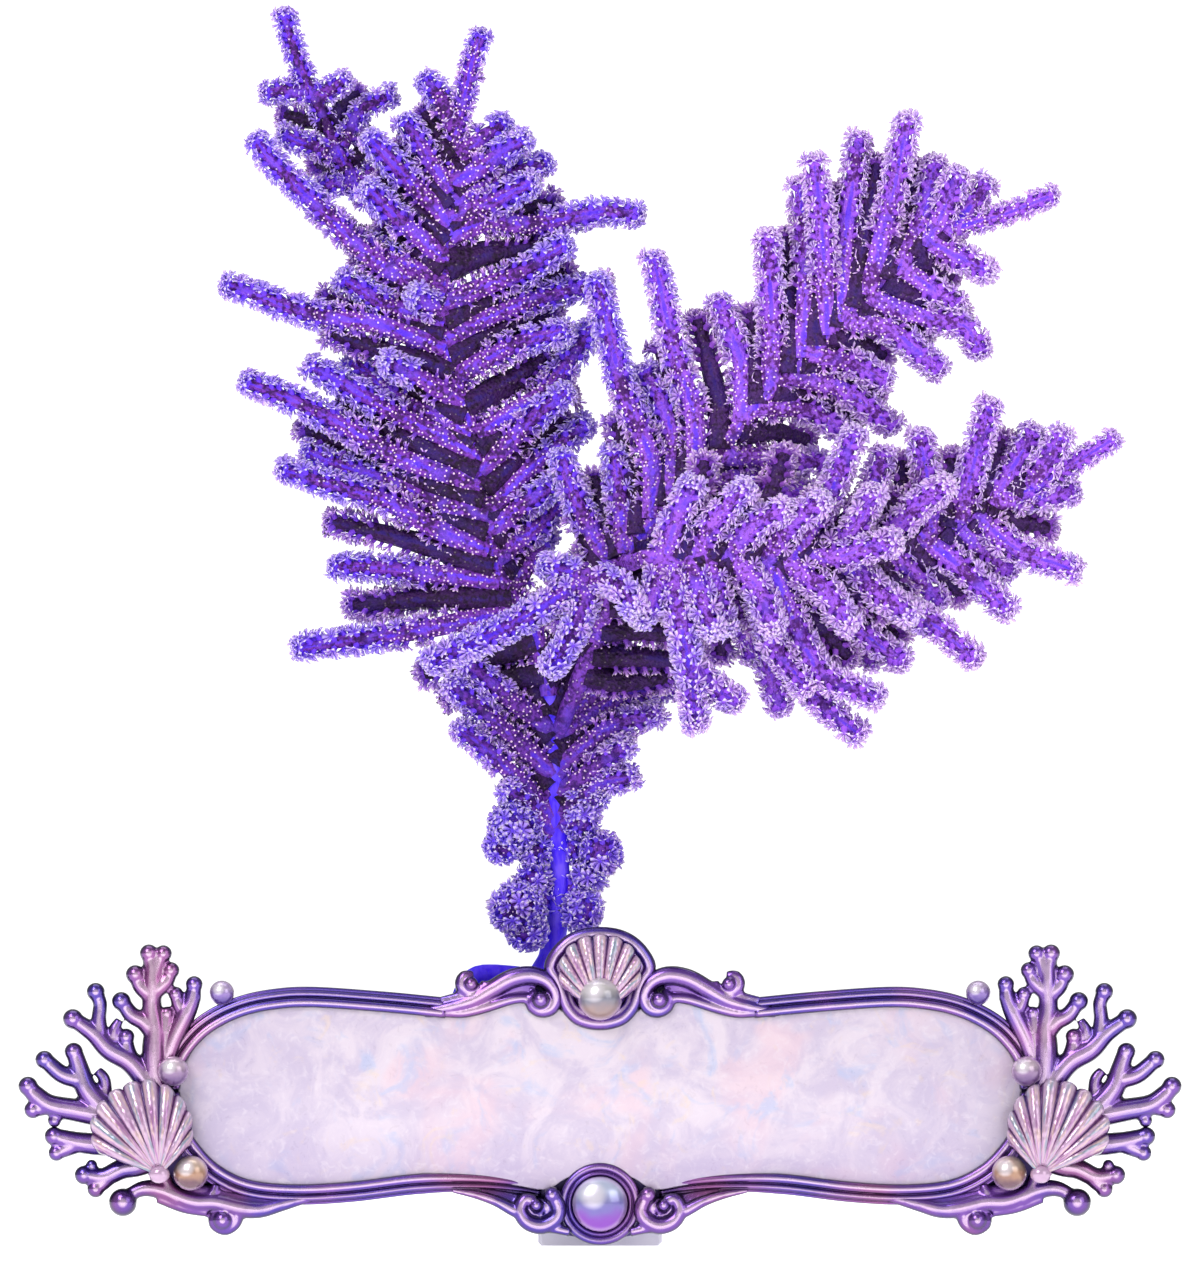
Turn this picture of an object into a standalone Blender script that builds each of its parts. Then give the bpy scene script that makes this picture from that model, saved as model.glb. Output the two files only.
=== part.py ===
"""Purple frilly sea fan on an ornate name plate: a gorgonian colony whose foot is set on a plinth
behind a framed mother-of-pearl panel with shells, pearls and cast coral sprays.

Lengths in the tables are millimetres, x to the right, y away from the viewer, z up.
"""

import math

import bmesh
import bpy
from mathutils import Matrix, Vector

MM = 0.001
GAP = 0.3                      # clearance between neighbouring pieces

# Sea fan
STEM_R = 2.5                   # bare trunk
POLYP_REACH = 4.2              # centre line of a branchlet to the tips of its polyps
STEM_REACH = 3.8               # the same on a main stem
FRONT_REACH = 4.5              # the same on the spray nearest the viewer
ROOT_R = 2.6                   # branchlet where it leaves its stem
TIP_R = 2.2                    # last ring of a branchlet
SHOULDER = 2.6                 # length of the rounded end of a branchlet
JOINT_DETAIL = 0.58            # share of the faces kept where branches are joined

# Stand
PLATE_BACK = 3.3
PLATE_FRONT = 0.3
PANEL_FRONT = -3.3
PLINTH_FOOT_X = 15.5
PLINTH_BODY_X = 38.0
PLINTH_FRONT = PLATE_BACK + GAP
PLINTH_BACK = 62.0
PLINTH_TOP = 57.0
PLINTH_NECK = 17.0
BOSS_CENTRE = (0.0, 10.6)
BOSS_R = 10.4
BOSS_BACK = -0.2
BOSS_PEARL_R = 6.9
BOSS_PEARL_DOME = 4.0          # half its depth
CREST_BACK = -0.1
CREST_FRONT = -3.1
CREST_ROPE_R = 1.3
CREST_PEARL_R = 5.3
CREST_PEARL_CENTRE = (0.0, -6.2, 62.3)
RIB = 0.5                      # height of a shell's ribs at the rim
SHELL_WALL = 1.0

# Depths of the centre lines of the cast trim
CORAL_Y = -2.8
TOP_SCROLL_Y = -3.2
TOP_UNDER_Y = -2.4
BOTTOM_SCROLL_Y = -4.6
SKIRT_Y = -3.4

MIRRORED = {"left": 1, "right": -1}


# Tables -----------------------------------------------------------------------------------------

TRUNK = [(-13.5, 30, 55), (-12.6, 30, 70), (-9.9, 29, 82), (-9.9, 28.5, 96), (-11.2, 28, 112),
         (-11.2, 28, 126), (-12.4, 27.5, 136.6)]
RIGHT_STUB = [(-11.2, 28, 126), (-8.2, 24.5, 134), (-6, 22.3, 139)]
HOLDFAST_ROOTS = [
    [(-14, 30, 54, 13.0), (-14, 30, 60, 10.0), (-13, 30, 67, 5.6), (-12.6, 30, 72, 3.0)],
    [(-14, 29, 62, 7.0), (-24, 25, 66.6, 3.0), (-31.5, 22, 66.8, 2.2), (-34.5, 20, 62, 1.6)],
    [(-14, 30, 59, 7.0), (-24, 17, 58, 3.4), (-29, 11, 56, 2.0)],
    [(-14, 30, 59, 7.0), (-1, 24, 58.4, 3.4), (7, 18, 56, 2.0)],
    [(-14, 30, 59, 7.0), (-6, 42, 58, 3.4), (1, 50, 56, 2.0)],
    [(-14, 30, 59, 7.0), (-24, 41, 58, 3.4), (-31, 47, 56, 2.0)],
]
KNOBS = [  # curled side twigs in clusters on the lower trunk
    [(-10, 28, 90, 2.4), (-19, 26, 95, 5.0), (-23.5, 25, 102, 7.4), (-22.5, 25, 109.5, 4.6)],
    [(-10, 28.5, 84, 3.0), (-18, 26.5, 86.5, 6.4), (-22, 26, 81, 7.6), (-20, 26, 75, 4.0)],
    [(-10, 28.5, 90, 2.4), (-1, 26.5, 92, 5.4), (1.6, 26, 99, 6.0), (-3, 26, 106.5, 4.2)],
    [(-10, 28.5, 79, 2.4), (-6.5, 27, 81, 4.6), (-1.5, 27, 84, 4.4)],
]

# A branchlet is its lean (y gained from root to tip, negative toward the viewer) and its route in
# x, z.
CONE = [
    (-7, (-12, 107), (-23, 119), (-35, 129)), (-9, (-12, 118), (-25, 130), (-37, 140)),
    (-9, (-12.5, 129), (-24, 138), (-33, 145.5)), (-6, (-10, 108), (0, 115), (7.5, 117)),
    (-7, (-10, 113), (6, 125)), (-6, (-10, 120), (2, 129), (14, 133)),
    (3, (-11, 127), (5, 137), (18, 139.5)), (9, (-11, 130), (4, 142), (20, 149)),
]

LEFT_RACHIS = [(-12.7, 27.3, 137.6), (-17.4, 26, 155.6), (-24.7, 25, 166), (-28.2, 24, 181.6),
               (-30.2, 24, 195), (-36.9, 24, 220), (-39.6, 24, 233), (-38, 25, 256), (-36, 25.5, 280),
               (-32.3, 26, 296), (-30, 26, 303)]
LEFT_PLUME = [
    (3, (-38, 238), (-57, 247), (-76, 265), (-86, 276.5)), (-4, (-39, 225), (-62, 232), (-93, 240.5)),
    (2, (-39, 231), (-52, 235), (-64, 242)), (-3, (-29, 190), (-49, 197), (-66, 205), (-88, 216)),
    (4, (-32, 203), (-54, 214.5), (-62, 221.5)), (-2, (-31, 198), (-57, 211.5), (-72, 220)),
    (-7, (-35, 212), (-53, 221)), (-3, (-28, 174), (-56, 187), (-79, 194)),
    (3, (-28, 183), (-58, 193), (-73, 198.5)), (4, (-25, 166), (-48, 169), (-66, 170)),
    (-4, (-19, 159), (-45, 154.5), (-75, 149.5)), (-2, (-37.5, 256), (-46, 265), (-57.5, 277)),
    (2, (-37, 264), (-48.8, 281.5)), (-5, (-38.5, 247), (-58, 264.5)), (4, (-39, 241), (-58, 251)),
    (3, (-36, 280), (-43.5, 292)), (2, (-36, 273), (-24.5, 281)), (-2, (-37, 266), (-19.5, 277)),
    (3, (-37, 261), (-14, 271.5)), (-3, (-38, 257), (-17.5, 266)),
    (2, (-38, 253), (-18.5, 256), (9, 258.5)), (-3, (-39, 236), (-20, 244), (-9, 250.5)),
    (3, (-39, 227), (-15.4, 237.7), (1, 241)), (-4, (-36, 218), (-23, 225), (-9, 229)),
    (2, (-31, 203), (-12, 216), (-2, 230)), (-4, (-30, 194), (-17.3, 206.6), (-8.5, 213.5)),
    (2, (-28, 184), (-18, 194), (-4, 205.5)), (-3, (-28, 179), (-12.5, 190)),
    (3, (-26, 172), (-9.5, 185.5)), (6, (-23, 163), (-13.5, 178)), (-8, (-39, 233), (-46, 238)),
]
BACK_STUB = [(-39.3, 24, 236), (-42.6, 30, 240.5), (-44.4, 33, 243)]
BACK_RACHIS = [(-44.9, 34, 243.8), (-50, 39, 249.5), (-58.5, 39, 262), (-71.5, 38, 287.6),
               (-79.5, 38, 308.5)]
BACK_SPRIG = [
    (1, (-73.5, 290), (-83.5, 289.5)), (-2, (-71, 288), (-64.5, 292.5)),
    (1, (-65, 276), (-60, 285), (-53.5, 288.5)), (-1, (-65, 273), (-79, 278.5)),
    (2, (-61, 268), (-70, 265.5)), (2, (-60, 267), (-54, 272)),
]

UPPER_RACHIS = [(-5.8, 22, 139.5), (0, 17, 154), (5, 11, 170), (15, 9, 183), (26.3, 9, 194.6),
                (38.3, 9, 209.4), (56.2, 9, 227), (73.5, 10, 243.6), (84.4, 11, 251.2),
                (101.7, 11, 258.3), (112.9, 11, 262.8)]
UPPER_PLUME = [
    (4, (3, 170), (-5, 184), (-9.5, 197)), (3, (6, 173), (5, 188), (3.5, 198)),
    (2, (13, 182), (9.4, 206), (3, 225), (-0.5, 241)), (6, (18, 187), (18, 204), (11.5, 218.5)),
    (0, (24, 192), (23, 212), (13.5, 246.5)), (5, (36, 206), (35, 222), (29.8, 236)),
    (-2, (43, 214), (42, 252)), (3, (51, 222), (51.5, 248), (50, 265)),
    (-3, (57, 228), (55.5, 255), (53.6, 270.5)), (4, (60, 231), (61.6, 253), (64.8, 276.5)),
    (-2, (67, 238), (72.8, 261), (76.7, 281)), (3, (75, 245), (81, 258), (83.7, 270.5)),
    (-2, (82, 250), (89.5, 267.5)), (3, (87, 252.5), (96.5, 265.5)), (-2, (83, 251), (96.5, 244)),
    (3, (75, 245), (89, 236)), (5, (67, 238), (80, 232.5), (95, 224.5)),
    (5, (61, 232), (84.4, 219.5)), (3, (52, 223), (71, 217)), (6, (47, 218), (60, 214.5), (73, 205.5)),
    (6, (39, 210), (61, 204)), (11, (30, 198), (55, 196)), (9, (21, 190), (52, 188.5)),
    (7, (14, 183), (45, 181)),
]
LOWER_STUB = [(5, 11, 170), (8, 5, 171), (10, 1, 171.6)]
LOWER_RACHIS = [(10.4, 0.2, 171.7), (16, -5, 172), (50, -6, 172), (66, -3, 173), (87, 1, 179.3),
                (103, 3, 187.4), (128, 4, 201.5)]
LOWER_PLUME = [
    (0, (48, 171), (57, 187), (63.5, 202.5)), (3, (64, 173), (70.5, 197.5)),
    (0, (83, 178), (80, 202)), (-4, (90, 181), (97.2, 209.5)), (3, (98, 185), (108, 203)),
    (-2, (108, 190), (115.5, 202.5)), (4, (99, 186), (118, 188.5)), (-3, (94, 183), (118, 169)),
    (5, (90, 180), (102, 169)), (-1, (80, 178), (101.5, 159.5)), (4, (72, 175), (84.5, 161.5)),
    (-3, (58, 172), (72, 162), (93, 147)), (3, (46, 171), (62, 156), (75, 146.5)),
    (-4, (42, 172), (52, 148), (68.5, 137.5)), (2, (40, 171), (50, 143), (64, 128.5)),
    (-3, (36, 172), (43, 152), (51, 140)), (10, (34, 171), (45, 135)), (9, (46, 170), (68, 147)),
    (-6, (27, 172), (31, 155)), (-9, (24, 172), (27, 180)), (-10, (34, 172), (38, 168)),
    (-9, (42, 172), (46, 181)), (-9, (52, 172), (60, 174)), (-8, (62, 172), (67, 164)),
    (-8, (70, 175), (76, 184)),
]
FRONT_STUB = [(5, 11, 170), (1.6, 5, 168.8), (0, 2.2, 168)]
FRONT_SPRAY = [
    [(-0.6, 1.2, 167.7), (-2, -1.3, 167), (-12, -4, 161), (-42, -5, 146)],
    [(-2, -1.6, 167), (-5, -6, 157), (-12, -8, 145)],
    [(-2, -1.6, 167), (5, -11, 165), (8.5, -15, 159.5)],
    [(-2, -1.6, 167), (-13, -1, 170)],
]
HANGING = [
    [(18, -5, 172), (20, -12, 157), (24, -14, 131)],
    [(22.6, -13.5, 144), (33.5, -11, 136.5)],
]

RAIL_PROFILE = [(-2.4, 0), (-2.1, 3.2), (0.9, 5.2), (2.4, 3.2), (2.4, 0)]
TOP_RAIL = [(-39.7, 59.6, 1), (-54, 61, 1), (-72, 62.2, 1), (-82, 61.6, 1), (-90, 59.8, 1),
            (-97, 56.5, 1), (-102, 52.4, 1), (-106, 46.6, 1), (-107.4, 39.6, 1)]
BOTTOM_RAIL = [(-107.4, 38.2, 1), (-106.2, 31, 1), (-102.4, 24.2, 1), (-96.5, 18.2, 1), (-88, 14.2, 1),
               (-76, 13, 1), (-62, 13.7, 1), (-46, 15.6, 1), (-33, 15.9, 0.85), (-23, 15.3, 0.6),
               (-14.6, 13.9, 0.4)]
TOP_SCROLL = [(-38.6, 60, 1.9), (-32, 61.2, 2.0), (-22, 67.2, 2.2),
              (-16.8, 68.2, 2.0), (-12.9, 66.3, 1.9), (-11.4, 62.9, 1.8), (-12.6, 60.3, 1.7),
              (-15, 59.9, 1.7), (-16.7, 61.8, 1.5), (-15.4, 63.2, 1.2)]
TOP_SCROLL_UNDER = [(-38.6, 58.6, 1.3), (-29, 59.3, 1.4), (-18.5, 62.3, 1.3)]
TOP_SCROLL_KNOB = ((-32.3, TOP_SCROLL_Y, 65.6), 2.9)
BOTTOM_SCROLL = [(-11.6, 12.8, 1.9), (-10.4, 10, 1.7), (-11.2, 7.2, 1.7), (-14.6, 5.2, 1.7),
                 (-18, 6.2, 1.7), (-19.7, 9, 1.6), (-18.2, 11.4, 1.4), (-16.4, 10.6, 1.1)]
BOTTOM_SKIRT = [(-20.5, 8.6, 1.2), (-25.5, 11.2, 1.2), (-35, 13.2, 0.6)]
CREST_OUTLINE = [(0, 78.4), (6.6, 77), (10.6, 73.9), (12.4, 70), (9.6, 66.4), (8.5, 61.6), (6.0, 57.4),
                 (0, 55.7)]

PLATE_OUTLINE = [(0, 76), (8, 74), (13, 66.4), (20, 66.6), (28, 62), (38, 59.8), (54, 61.4),
                 (72, 62.8), (84, 61.6), (94, 58.3), (102, 52.6), (107.5, 44), (121.5, 35.5), (122, 27),
                 (109.5, 15.2), (92, 11.4), (76, 11.6), (45, 14), (30, 13.6), (20.5, 9), (14, 4.4),
                 (6, 2.2), (0, 1.2)]
PANEL_OUTLINE = [(0, 53.8), (5, 54.2), (9.5, 57), (38, 57), (54, 58.3), (72, 59.5), (82, 58.9),
                 (89, 57.1), (95.5, 54.1), (100, 50.4), (104.4, 42), (103.6, 32), (100.2, 26),
                 (95, 20.6), (87.2, 16.9), (76, 15.8), (46, 18.5), (33, 18.4), (22, 17.4), (11.5, 19),
                 (0, 21.6)]

MID_PEARL = ((-106.5, -6.4, 43.8), 3.7)
LOWER_PEARL = ((-102.2, -6.6, 18.4), 4.4)
BEAD = ((-94.5, -2.6, 63.3), 3.1)
SIDE_SHELL = {"umbo": (-110.0, 18.2), "reach": 23.2, "start": 0.12, "spread": 56, "turn": 12, "ribs": 9,
              "bulge": 5.6, "back": -6.0, "falls": ((0.56, 1.6), (0.31, 3.0))}
CREST_SHELL = {"umbo": (0.0, 59.4), "reach": 18.0, "start": 0.3, "spread": 56, "turn": 0, "ribs": 7,
               "bulge": 2.8, "back": -5.9, "falls": ((0.42, 2.4), (0.42, 2.4))}

CORAL = {
    "coral_upper": [
        [(-111, 40.5, 2.6), (-111.2, 54, 2.4), (-111.9, 63, 2.2), (-112.1, 73, 1.7)],
        [(-111.4, 67, 1.8), (-109.5, 73, 1.6)],
        [(-111.4, 63.5, 1.9), (-108.4, 66, 1.8), (-107.5, 68.6, 1.6)],
        [(-112, 62.5, 1.9), (-115, 65, 1.8), (-115.7, 67.6, 1.6)],
        [(-111.5, 54.5, 2.0), (-116.5, 57.4, 1.9), (-119.3, 61.2, 1.6)],
        [(-110, 51, 1.8), (-108, 58, 1.4)],
        [(-109.5, 45, 1.8), (-104.2, 57, 2.0), (-101.5, 65.4, 1.6)],
        [(-104, 57, 1.6), (-105.8, 62.8, 1.6)],
        [(-112.5, 40.5, 2.4), (-117, 45.8, 2.2), (-123, 49, 2.1), (-131.5, 56.6, 1.8)],
        [(-124.5, 50, 1.7), (-125.2, 57, 1.5), (-126, 63.2, 1.8)],
        [(-117.2, 46, 1.8), (-118.3, 51.8, 1.6)],
    ],
    "coral_outer": [
        [(-119, 32.5, 2.8), (-127, 37.5, 2.4), (-130, 44, 2.0), (-131.4, 48.4, 1.8)],
        [(-129.2, 41.5, 1.9), (-134.3, 42.7, 1.9), (-138.6, 46.4, 1.9)],
        [(-121, 32.4, 2.6), (-137, 34.8, 2.2), (-143.6, 40.2, 2.1)],
        [(-135, 35, 1.8), (-141.3, 34.2, 1.6)],
    ],
    "coral_lower": [
        [(-117, 25.6, 2.2), (-130.5, 26, 2.2), (-137, 27.5, 1.9)],
        [(-129.5, 26, 1.9), (-135.3, 23.6, 1.8)],
        [(-112.5, 21, 1.8), (-119.5, 19.4, 2.2), (-124, 17.3, 2.0), (-129, 17.8, 1.9)],
        [(-121.5, 18.6, 1.8), (-125.6, 14.5, 1.7)],
        [(-114, 22.5, 2.0), (-118, 25.5, 2.0)],
    ],
    "scroll_tail": [
        [(-106, 12.2, 1.9), (-113.5, 14.3, 1.9), (-118.6, 12.2, 1.7)],
        [(-108, 16.6, 1.4), (-107, 13, 2.0), (-101, 10.9, 2.0), (-90, 9, 2.2), (-80, 9.6, 0.7)],
        [(-97, 11.4, 1.6), (-95.6, 14, 1.2)],
        [(-90.5, 8.8, 1.6), (-94.4, 6.4, 1.5)],
    ],
}
TAIL_BALLS = [((-119.2, CORAL_Y, 11.1), 3.3), ((-94.5, CORAL_Y, 6.5), 3.2)]


# Helpers ----------------------------------------------------------------------------------------

def material(name, colour, roughness, metallic=0.0):
    """A Principled material from a colour in sRGB bytes."""
    made = bpy.data.materials.new(name)
    made.use_nodes = True
    shader = made.node_tree.nodes["Principled BSDF"]
    linear = [((c / 255 + 0.055) / 1.055) ** 2.4 if c > 10 else c / 255 / 12.92 for c in colour]
    shader.inputs["Base Color"].default_value = (*linear, 1)
    shader.inputs["Roughness"].default_value = roughness
    shader.inputs["Metallic"].default_value = metallic
    made.diffuse_color = (*linear, 1)
    return made


def collection(name, parent=None):
    made = bpy.data.collections.new(name)
    (parent or bpy.context.scene.collection).children.link(made)
    return made


def from_bmesh(name, shape, home):
    """A mesh object in a collection, its faces turned outward and shaded smooth below 40 degrees."""
    bmesh.ops.recalc_face_normals(shape, faces=shape.faces)
    mesh = bpy.data.meshes.new(name)
    shape.to_mesh(mesh)
    shape.free()
    mesh.shade_smooth()
    mesh.set_sharp_from_angle(angle=math.radians(40))
    made = bpy.data.objects.new(name, mesh)
    home.objects.link(made)
    return made


def hide(piece):
    piece.hide_render = True
    piece.display_type = "WIRE"
    return piece


def baked(piece, home):
    """The evaluated object as a plain welded mesh object; the original is removed."""
    bpy.context.view_layer.update()
    graph = bpy.context.evaluated_depsgraph_get()
    mesh = bpy.data.meshes.new_from_object(piece.evaluated_get(graph))
    shape = bmesh.new()
    shape.from_mesh(mesh)
    bpy.data.meshes.remove(mesh)
    bmesh.ops.remove_doubles(shape, verts=shape.verts, dist=0.00001)
    bmesh.ops.transform(shape, matrix=piece.matrix_world, verts=shape.verts)
    name = piece.name
    bpy.data.objects.remove(piece)
    return from_bmesh(name, shape, home)


def spline(name, points, home, depth=0.0, profile=None, flat=False):
    """A curve object through points (x, y, z, radius) in millimetres, with filled ends."""
    data = bpy.data.curves.new(name, "CURVE")
    data.dimensions = "2D" if flat else "3D"
    data.use_fill_caps = True
    line = data.splines.new("POLY")
    line.points.add(len(points) - 1)
    for point, (x, y, z, radius) in zip(line.points, points):
        point.co = (x * MM, y * MM, z * MM, 1)
        point.radius = radius
    if profile:
        data.bevel_mode = "OBJECT"
        data.bevel_object = profile
    else:
        data.bevel_depth = depth
        data.bevel_resolution = 1
    made = bpy.data.objects.new(name, data)
    home.objects.link(made)
    return made


def tube(name, points, home):
    """A six-sided tube through points (x, y, z, radius), as a welded mesh."""
    return baked(spline(name, points, home, depth=MM), home)


def ball(name, centre, halves, home):
    """An ellipsoid from its centre and its three half sizes."""
    shape = bmesh.new()
    bmesh.ops.create_icosphere(shape, subdivisions=2, radius=1.0)
    size = Vector(halves) * MM
    place = Matrix.Translation(Vector(centre) * MM) @ Matrix.Diagonal((*size, 1))
    bmesh.ops.transform(shape, matrix=place, verts=shape.verts)
    return from_bmesh(name, shape, home)


def slab(name, outline, front, back, home):
    """A flat plate standing in the xz plane, from its outline and its two faces in y."""
    data = bpy.data.curves.new(name, "CURVE")
    data.dimensions = "2D"
    data.fill_mode = "BOTH"
    data.extrude = (back - front) / 2 * MM
    line = data.splines.new("POLY")
    line.points.add(len(outline) - 1)
    for point, (x, z) in zip(line.points, outline):
        point.co = (x * MM, z * MM, 0, 1)
    line.use_cyclic_u = True
    made = bpy.data.objects.new(name, data)
    made.rotation_euler = (math.pi / 2, 0, 0)
    made.location = (0, (front + back) / 2 * MM, 0)
    home.objects.link(made)
    return baked(made, home)


def both_sides(half):
    """A closed outline from its right half, top to bottom, whose ends are on the axis."""
    return half + [(-x, z) for x, z in reversed(half[1:-1])]


def boolean(piece, operation, others):
    """A Boolean on a piece with a hidden collection of other meshes."""
    tools = collection(f"{piece.name}_{operation.lower()}", cutters)
    for other in others:
        for home in list(other.users_collection):
            home.objects.unlink(other)
        tools.objects.link(hide(other))
    change = piece.modifiers.new(operation.capitalize(), "BOOLEAN")
    change.operation = operation
    change.operand_type = "COLLECTION"
    change.collection = tools
    change.solver = "EXACT"
    change.show_viewport = False
    return piece


def union(piece, others, kept=1.0):
    """Other meshes joined on; kept below 1 then thins the faces that the joins leave."""
    boolean(piece, "UNION", others)
    if kept < 1:
        thinning = piece.modifiers.new("Thinning", "DECIMATE")
        thinning.ratio = kept
        thinning.show_viewport = False
    return piece


def cut(piece, others):
    return boolean(piece, "DIFFERENCE", others)


def paint(piece, look):
    piece.data.materials.clear()
    piece.data.materials.append(look)
    return piece


# Sea fan ----------------------------------------------------------------------------------------

def nearest_depth(rachis, x, z):
    """The y of a stem's centre line where a route in x, z leaves it."""
    best = (1e9, 0.0)
    for start, end in zip(rachis, rachis[1:]):
        a, b = Vector((start[0], start[2])), Vector((end[0], end[2]))
        along = max(0.0, min(1.0, (Vector((x, z)) - a).dot(b - a) / (b - a).length_squared))
        away = (a.lerp(b, along) - Vector((x, z))).length
        best = min(best, (away, start[1] + (end[1] - start[1]) * along))
    return best[1]


def with_shoulder(route, reach):
    """Route points with radii: slim at the root, full to the polyp tips, rounded at the end."""
    points = [Vector(point) for point in route]
    end = points[-1] - points[-2]
    points.insert(-1, points[-1] - end.normalized() * SHOULDER)
    radii = [ROOT_R] + [reach] * (len(points) - 2) + [TIP_R]
    return [(*point, radius) for point, radius in zip(points, radii)]


def leaning(rachis, branchlet):
    """The x, y, z route of a branchlet that leaves a stem and leans as it goes."""
    lean, *flat = branchlet
    root = nearest_depth(rachis, *flat[0])
    lengths = [math.dist(flat[0], point) for point in flat]
    return [(x, root + lean * length / lengths[-1], z) for (x, z), length in zip(flat, lengths)]


def branchlets(name, routes):
    return [tube(f"{name}_{number:02d}", with_shoulder(route, POLYP_REACH), cutters)
            for number, route in enumerate(routes)]


def stem(name, rachis, home, bare):
    """A main stem: bare where told, then out to the tips of the polyps that it carries itself."""
    points = with_shoulder(rachis, STEM_REACH)
    points = [(*point[:3], STEM_R) if number <= bare else point for number, point in enumerate(points)]
    return tube(name, points, home)


def plume(name, rachis, table, bare=0, extra=()):
    """A plume: its stem with every branchlet joined on, one body."""
    routes = [leaning(rachis, branchlet) for branchlet in table]
    made = stem(name, rachis, fan, bare)
    return paint(union(made, branchlets(name, routes) + list(extra), JOINT_DETAIL), coral_tissue)


def stub(name, points):
    """The short start of a side stem, left on the piece that it forks from."""
    return tube(name, [(*point, STEM_R) for point in points], cutters)


def trunk():
    """Holdfast, bare trunk, curled lower clusters and the first cone of branchlets."""
    made = tube("trunk", [(*point, STEM_R) for point in TRUNK], fan)
    roots = [tube(f"holdfast_{number}", route, cutters) for number, route in enumerate(HOLDFAST_ROOTS)]
    knobs = [tube(f"knob_{number}", route, cutters) for number, route in enumerate(KNOBS)]
    cone = branchlets("cone", [leaning(TRUNK, branchlet) for branchlet in CONE])
    union(made, roots + knobs + cone + [stub("right_stub", RIGHT_STUB)], JOINT_DETAIL)
    top = PLINTH_TOP + GAP
    floor = slab("holdfast_floor", [(-60, 40), (30, 40), (30, top), (-60, top)], -5, 80, cutters)
    return paint(cut(made, [floor]), coral_tissue)


def front_spray():
    first, *rest = [with_shoulder(route, FRONT_REACH) for route in FRONT_SPRAY]
    made = tube("front_spray", first, fan)
    others = [tube(f"front_{number}", route, cutters) for number, route in enumerate(rest)]
    return paint(union(made, others, JOINT_DETAIL), coral_tissue)


def sea_fan():
    trunk()
    plume("left_plume", LEFT_RACHIS, LEFT_PLUME, extra=[stub("back_stub", BACK_STUB)])
    plume("back_sprig", BACK_RACHIS, BACK_SPRIG)
    plume("upper_plume", UPPER_RACHIS, UPPER_PLUME, bare=2,
          extra=[stub("lower_stub", LOWER_STUB), stub("front_stub", FRONT_STUB)])
    plume("lower_plume", LOWER_RACHIS, LOWER_PLUME, extra=branchlets("hanging", HANGING))
    front_spray()


# Stand ------------------------------------------------------------------------------------------

def plinth():
    """The block behind the name plate that carries the colony: narrow foot, wide shelf."""
    outline = both_sides([(0, PLINTH_TOP), (PLINTH_BODY_X - 3, PLINTH_TOP),
                          (PLINTH_BODY_X, PLINTH_TOP - 3), (PLINTH_BODY_X, 24),
                          (PLINTH_BODY_X - 6, PLINTH_NECK + 1.5), (PLINTH_FOOT_X, PLINTH_NECK - 3),
                          (PLINTH_FOOT_X, 0), (0, 0)])
    made = slab("plinth", outline, PLINTH_FRONT, PLINTH_BACK, stand)
    rounding = made.modifiers.new("Rounding", "BEVEL")
    rounding.width = 0.8 * MM
    rounding.segments = 1
    rounding.limit_method = "ANGLE"
    return paint(made, pale_resin)


def rail(name, route, side, home, grow=0.0):
    """One length of the frame: a double bead swept along the outline, or the room it needs."""
    half = [(side * (x + math.copysign(grow, x)), z + grow * math.copysign(1, z - 0.1))
            for x, z in RAIL_PROFILE]
    profile = bpy.data.curves.new(f"{name}_profile", "CURVE")
    line = profile.splines.new("POLY")
    line.points.add(len(half) - 1)
    for point, (across, up) in zip(line.points, half):
        point.co = (across * MM, up * MM, 0, 1)
    line.use_cyclic_u = True
    guide = hide(bpy.data.objects.new(f"{name}_profile", profile))
    cutters.objects.link(guide)
    made = spline(name, [(x * side, z, 0, size) for x, z, size in route], home, profile=guide, flat=True)
    made.rotation_euler = (math.pi / 2, 0, 0)
    return paint(baked(made, home), resin)


def flat_tube(name, route, depth, side, home, grow=0.0):
    """A tube that lies in the xz plane at a depth."""
    return tube(name, [(x * side, depth, z, radius + grow) for x, z, radius in route], home)


def ball_of(name, spot, side, home, grow=0.0):
    """A round ball at a table's (centre, radius), on one side."""
    (x, y, z), radius = spot
    return ball(name, (x * side, y, z), [radius + grow] * 3, home)


def scrolls(word, side):
    """The two scrolls of one side: at the crest and at the boss."""
    top = flat_tube(f"scroll_top_{word}", TOP_SCROLL, TOP_SCROLL_Y, side, stand)
    union(top, [flat_tube(f"top_under_{word}", TOP_SCROLL_UNDER, TOP_UNDER_Y, side, cutters),
                ball_of(f"top_knob_{word}", TOP_SCROLL_KNOB, side, cutters)])
    bottom = flat_tube(f"scroll_bottom_{word}", BOTTOM_SCROLL, BOTTOM_SCROLL_Y, side, stand)
    union(bottom, [flat_tube(f"skirt_{word}", BOTTOM_SKIRT, SKIRT_Y, side, cutters)])
    paint(top, resin)
    paint(bottom, resin)


def pearls(word, side):
    for name, spot in (("pearl_mid", MID_PEARL), ("pearl_lower", LOWER_PEARL)):
        paint(ball_of(f"{name}_{word}", spot, side, stand), pearl)
    paint(ball_of(f"bead_{word}", BEAD, side, stand), resin)


def sockets(word, side, spots):
    """Cutters a gap larger than the pearls and beads that sit in a piece."""
    return [ball_of(f"socket_{word}_{number}", spot, side, cutters, GAP)
            for number, spot in enumerate(spots)]


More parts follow.
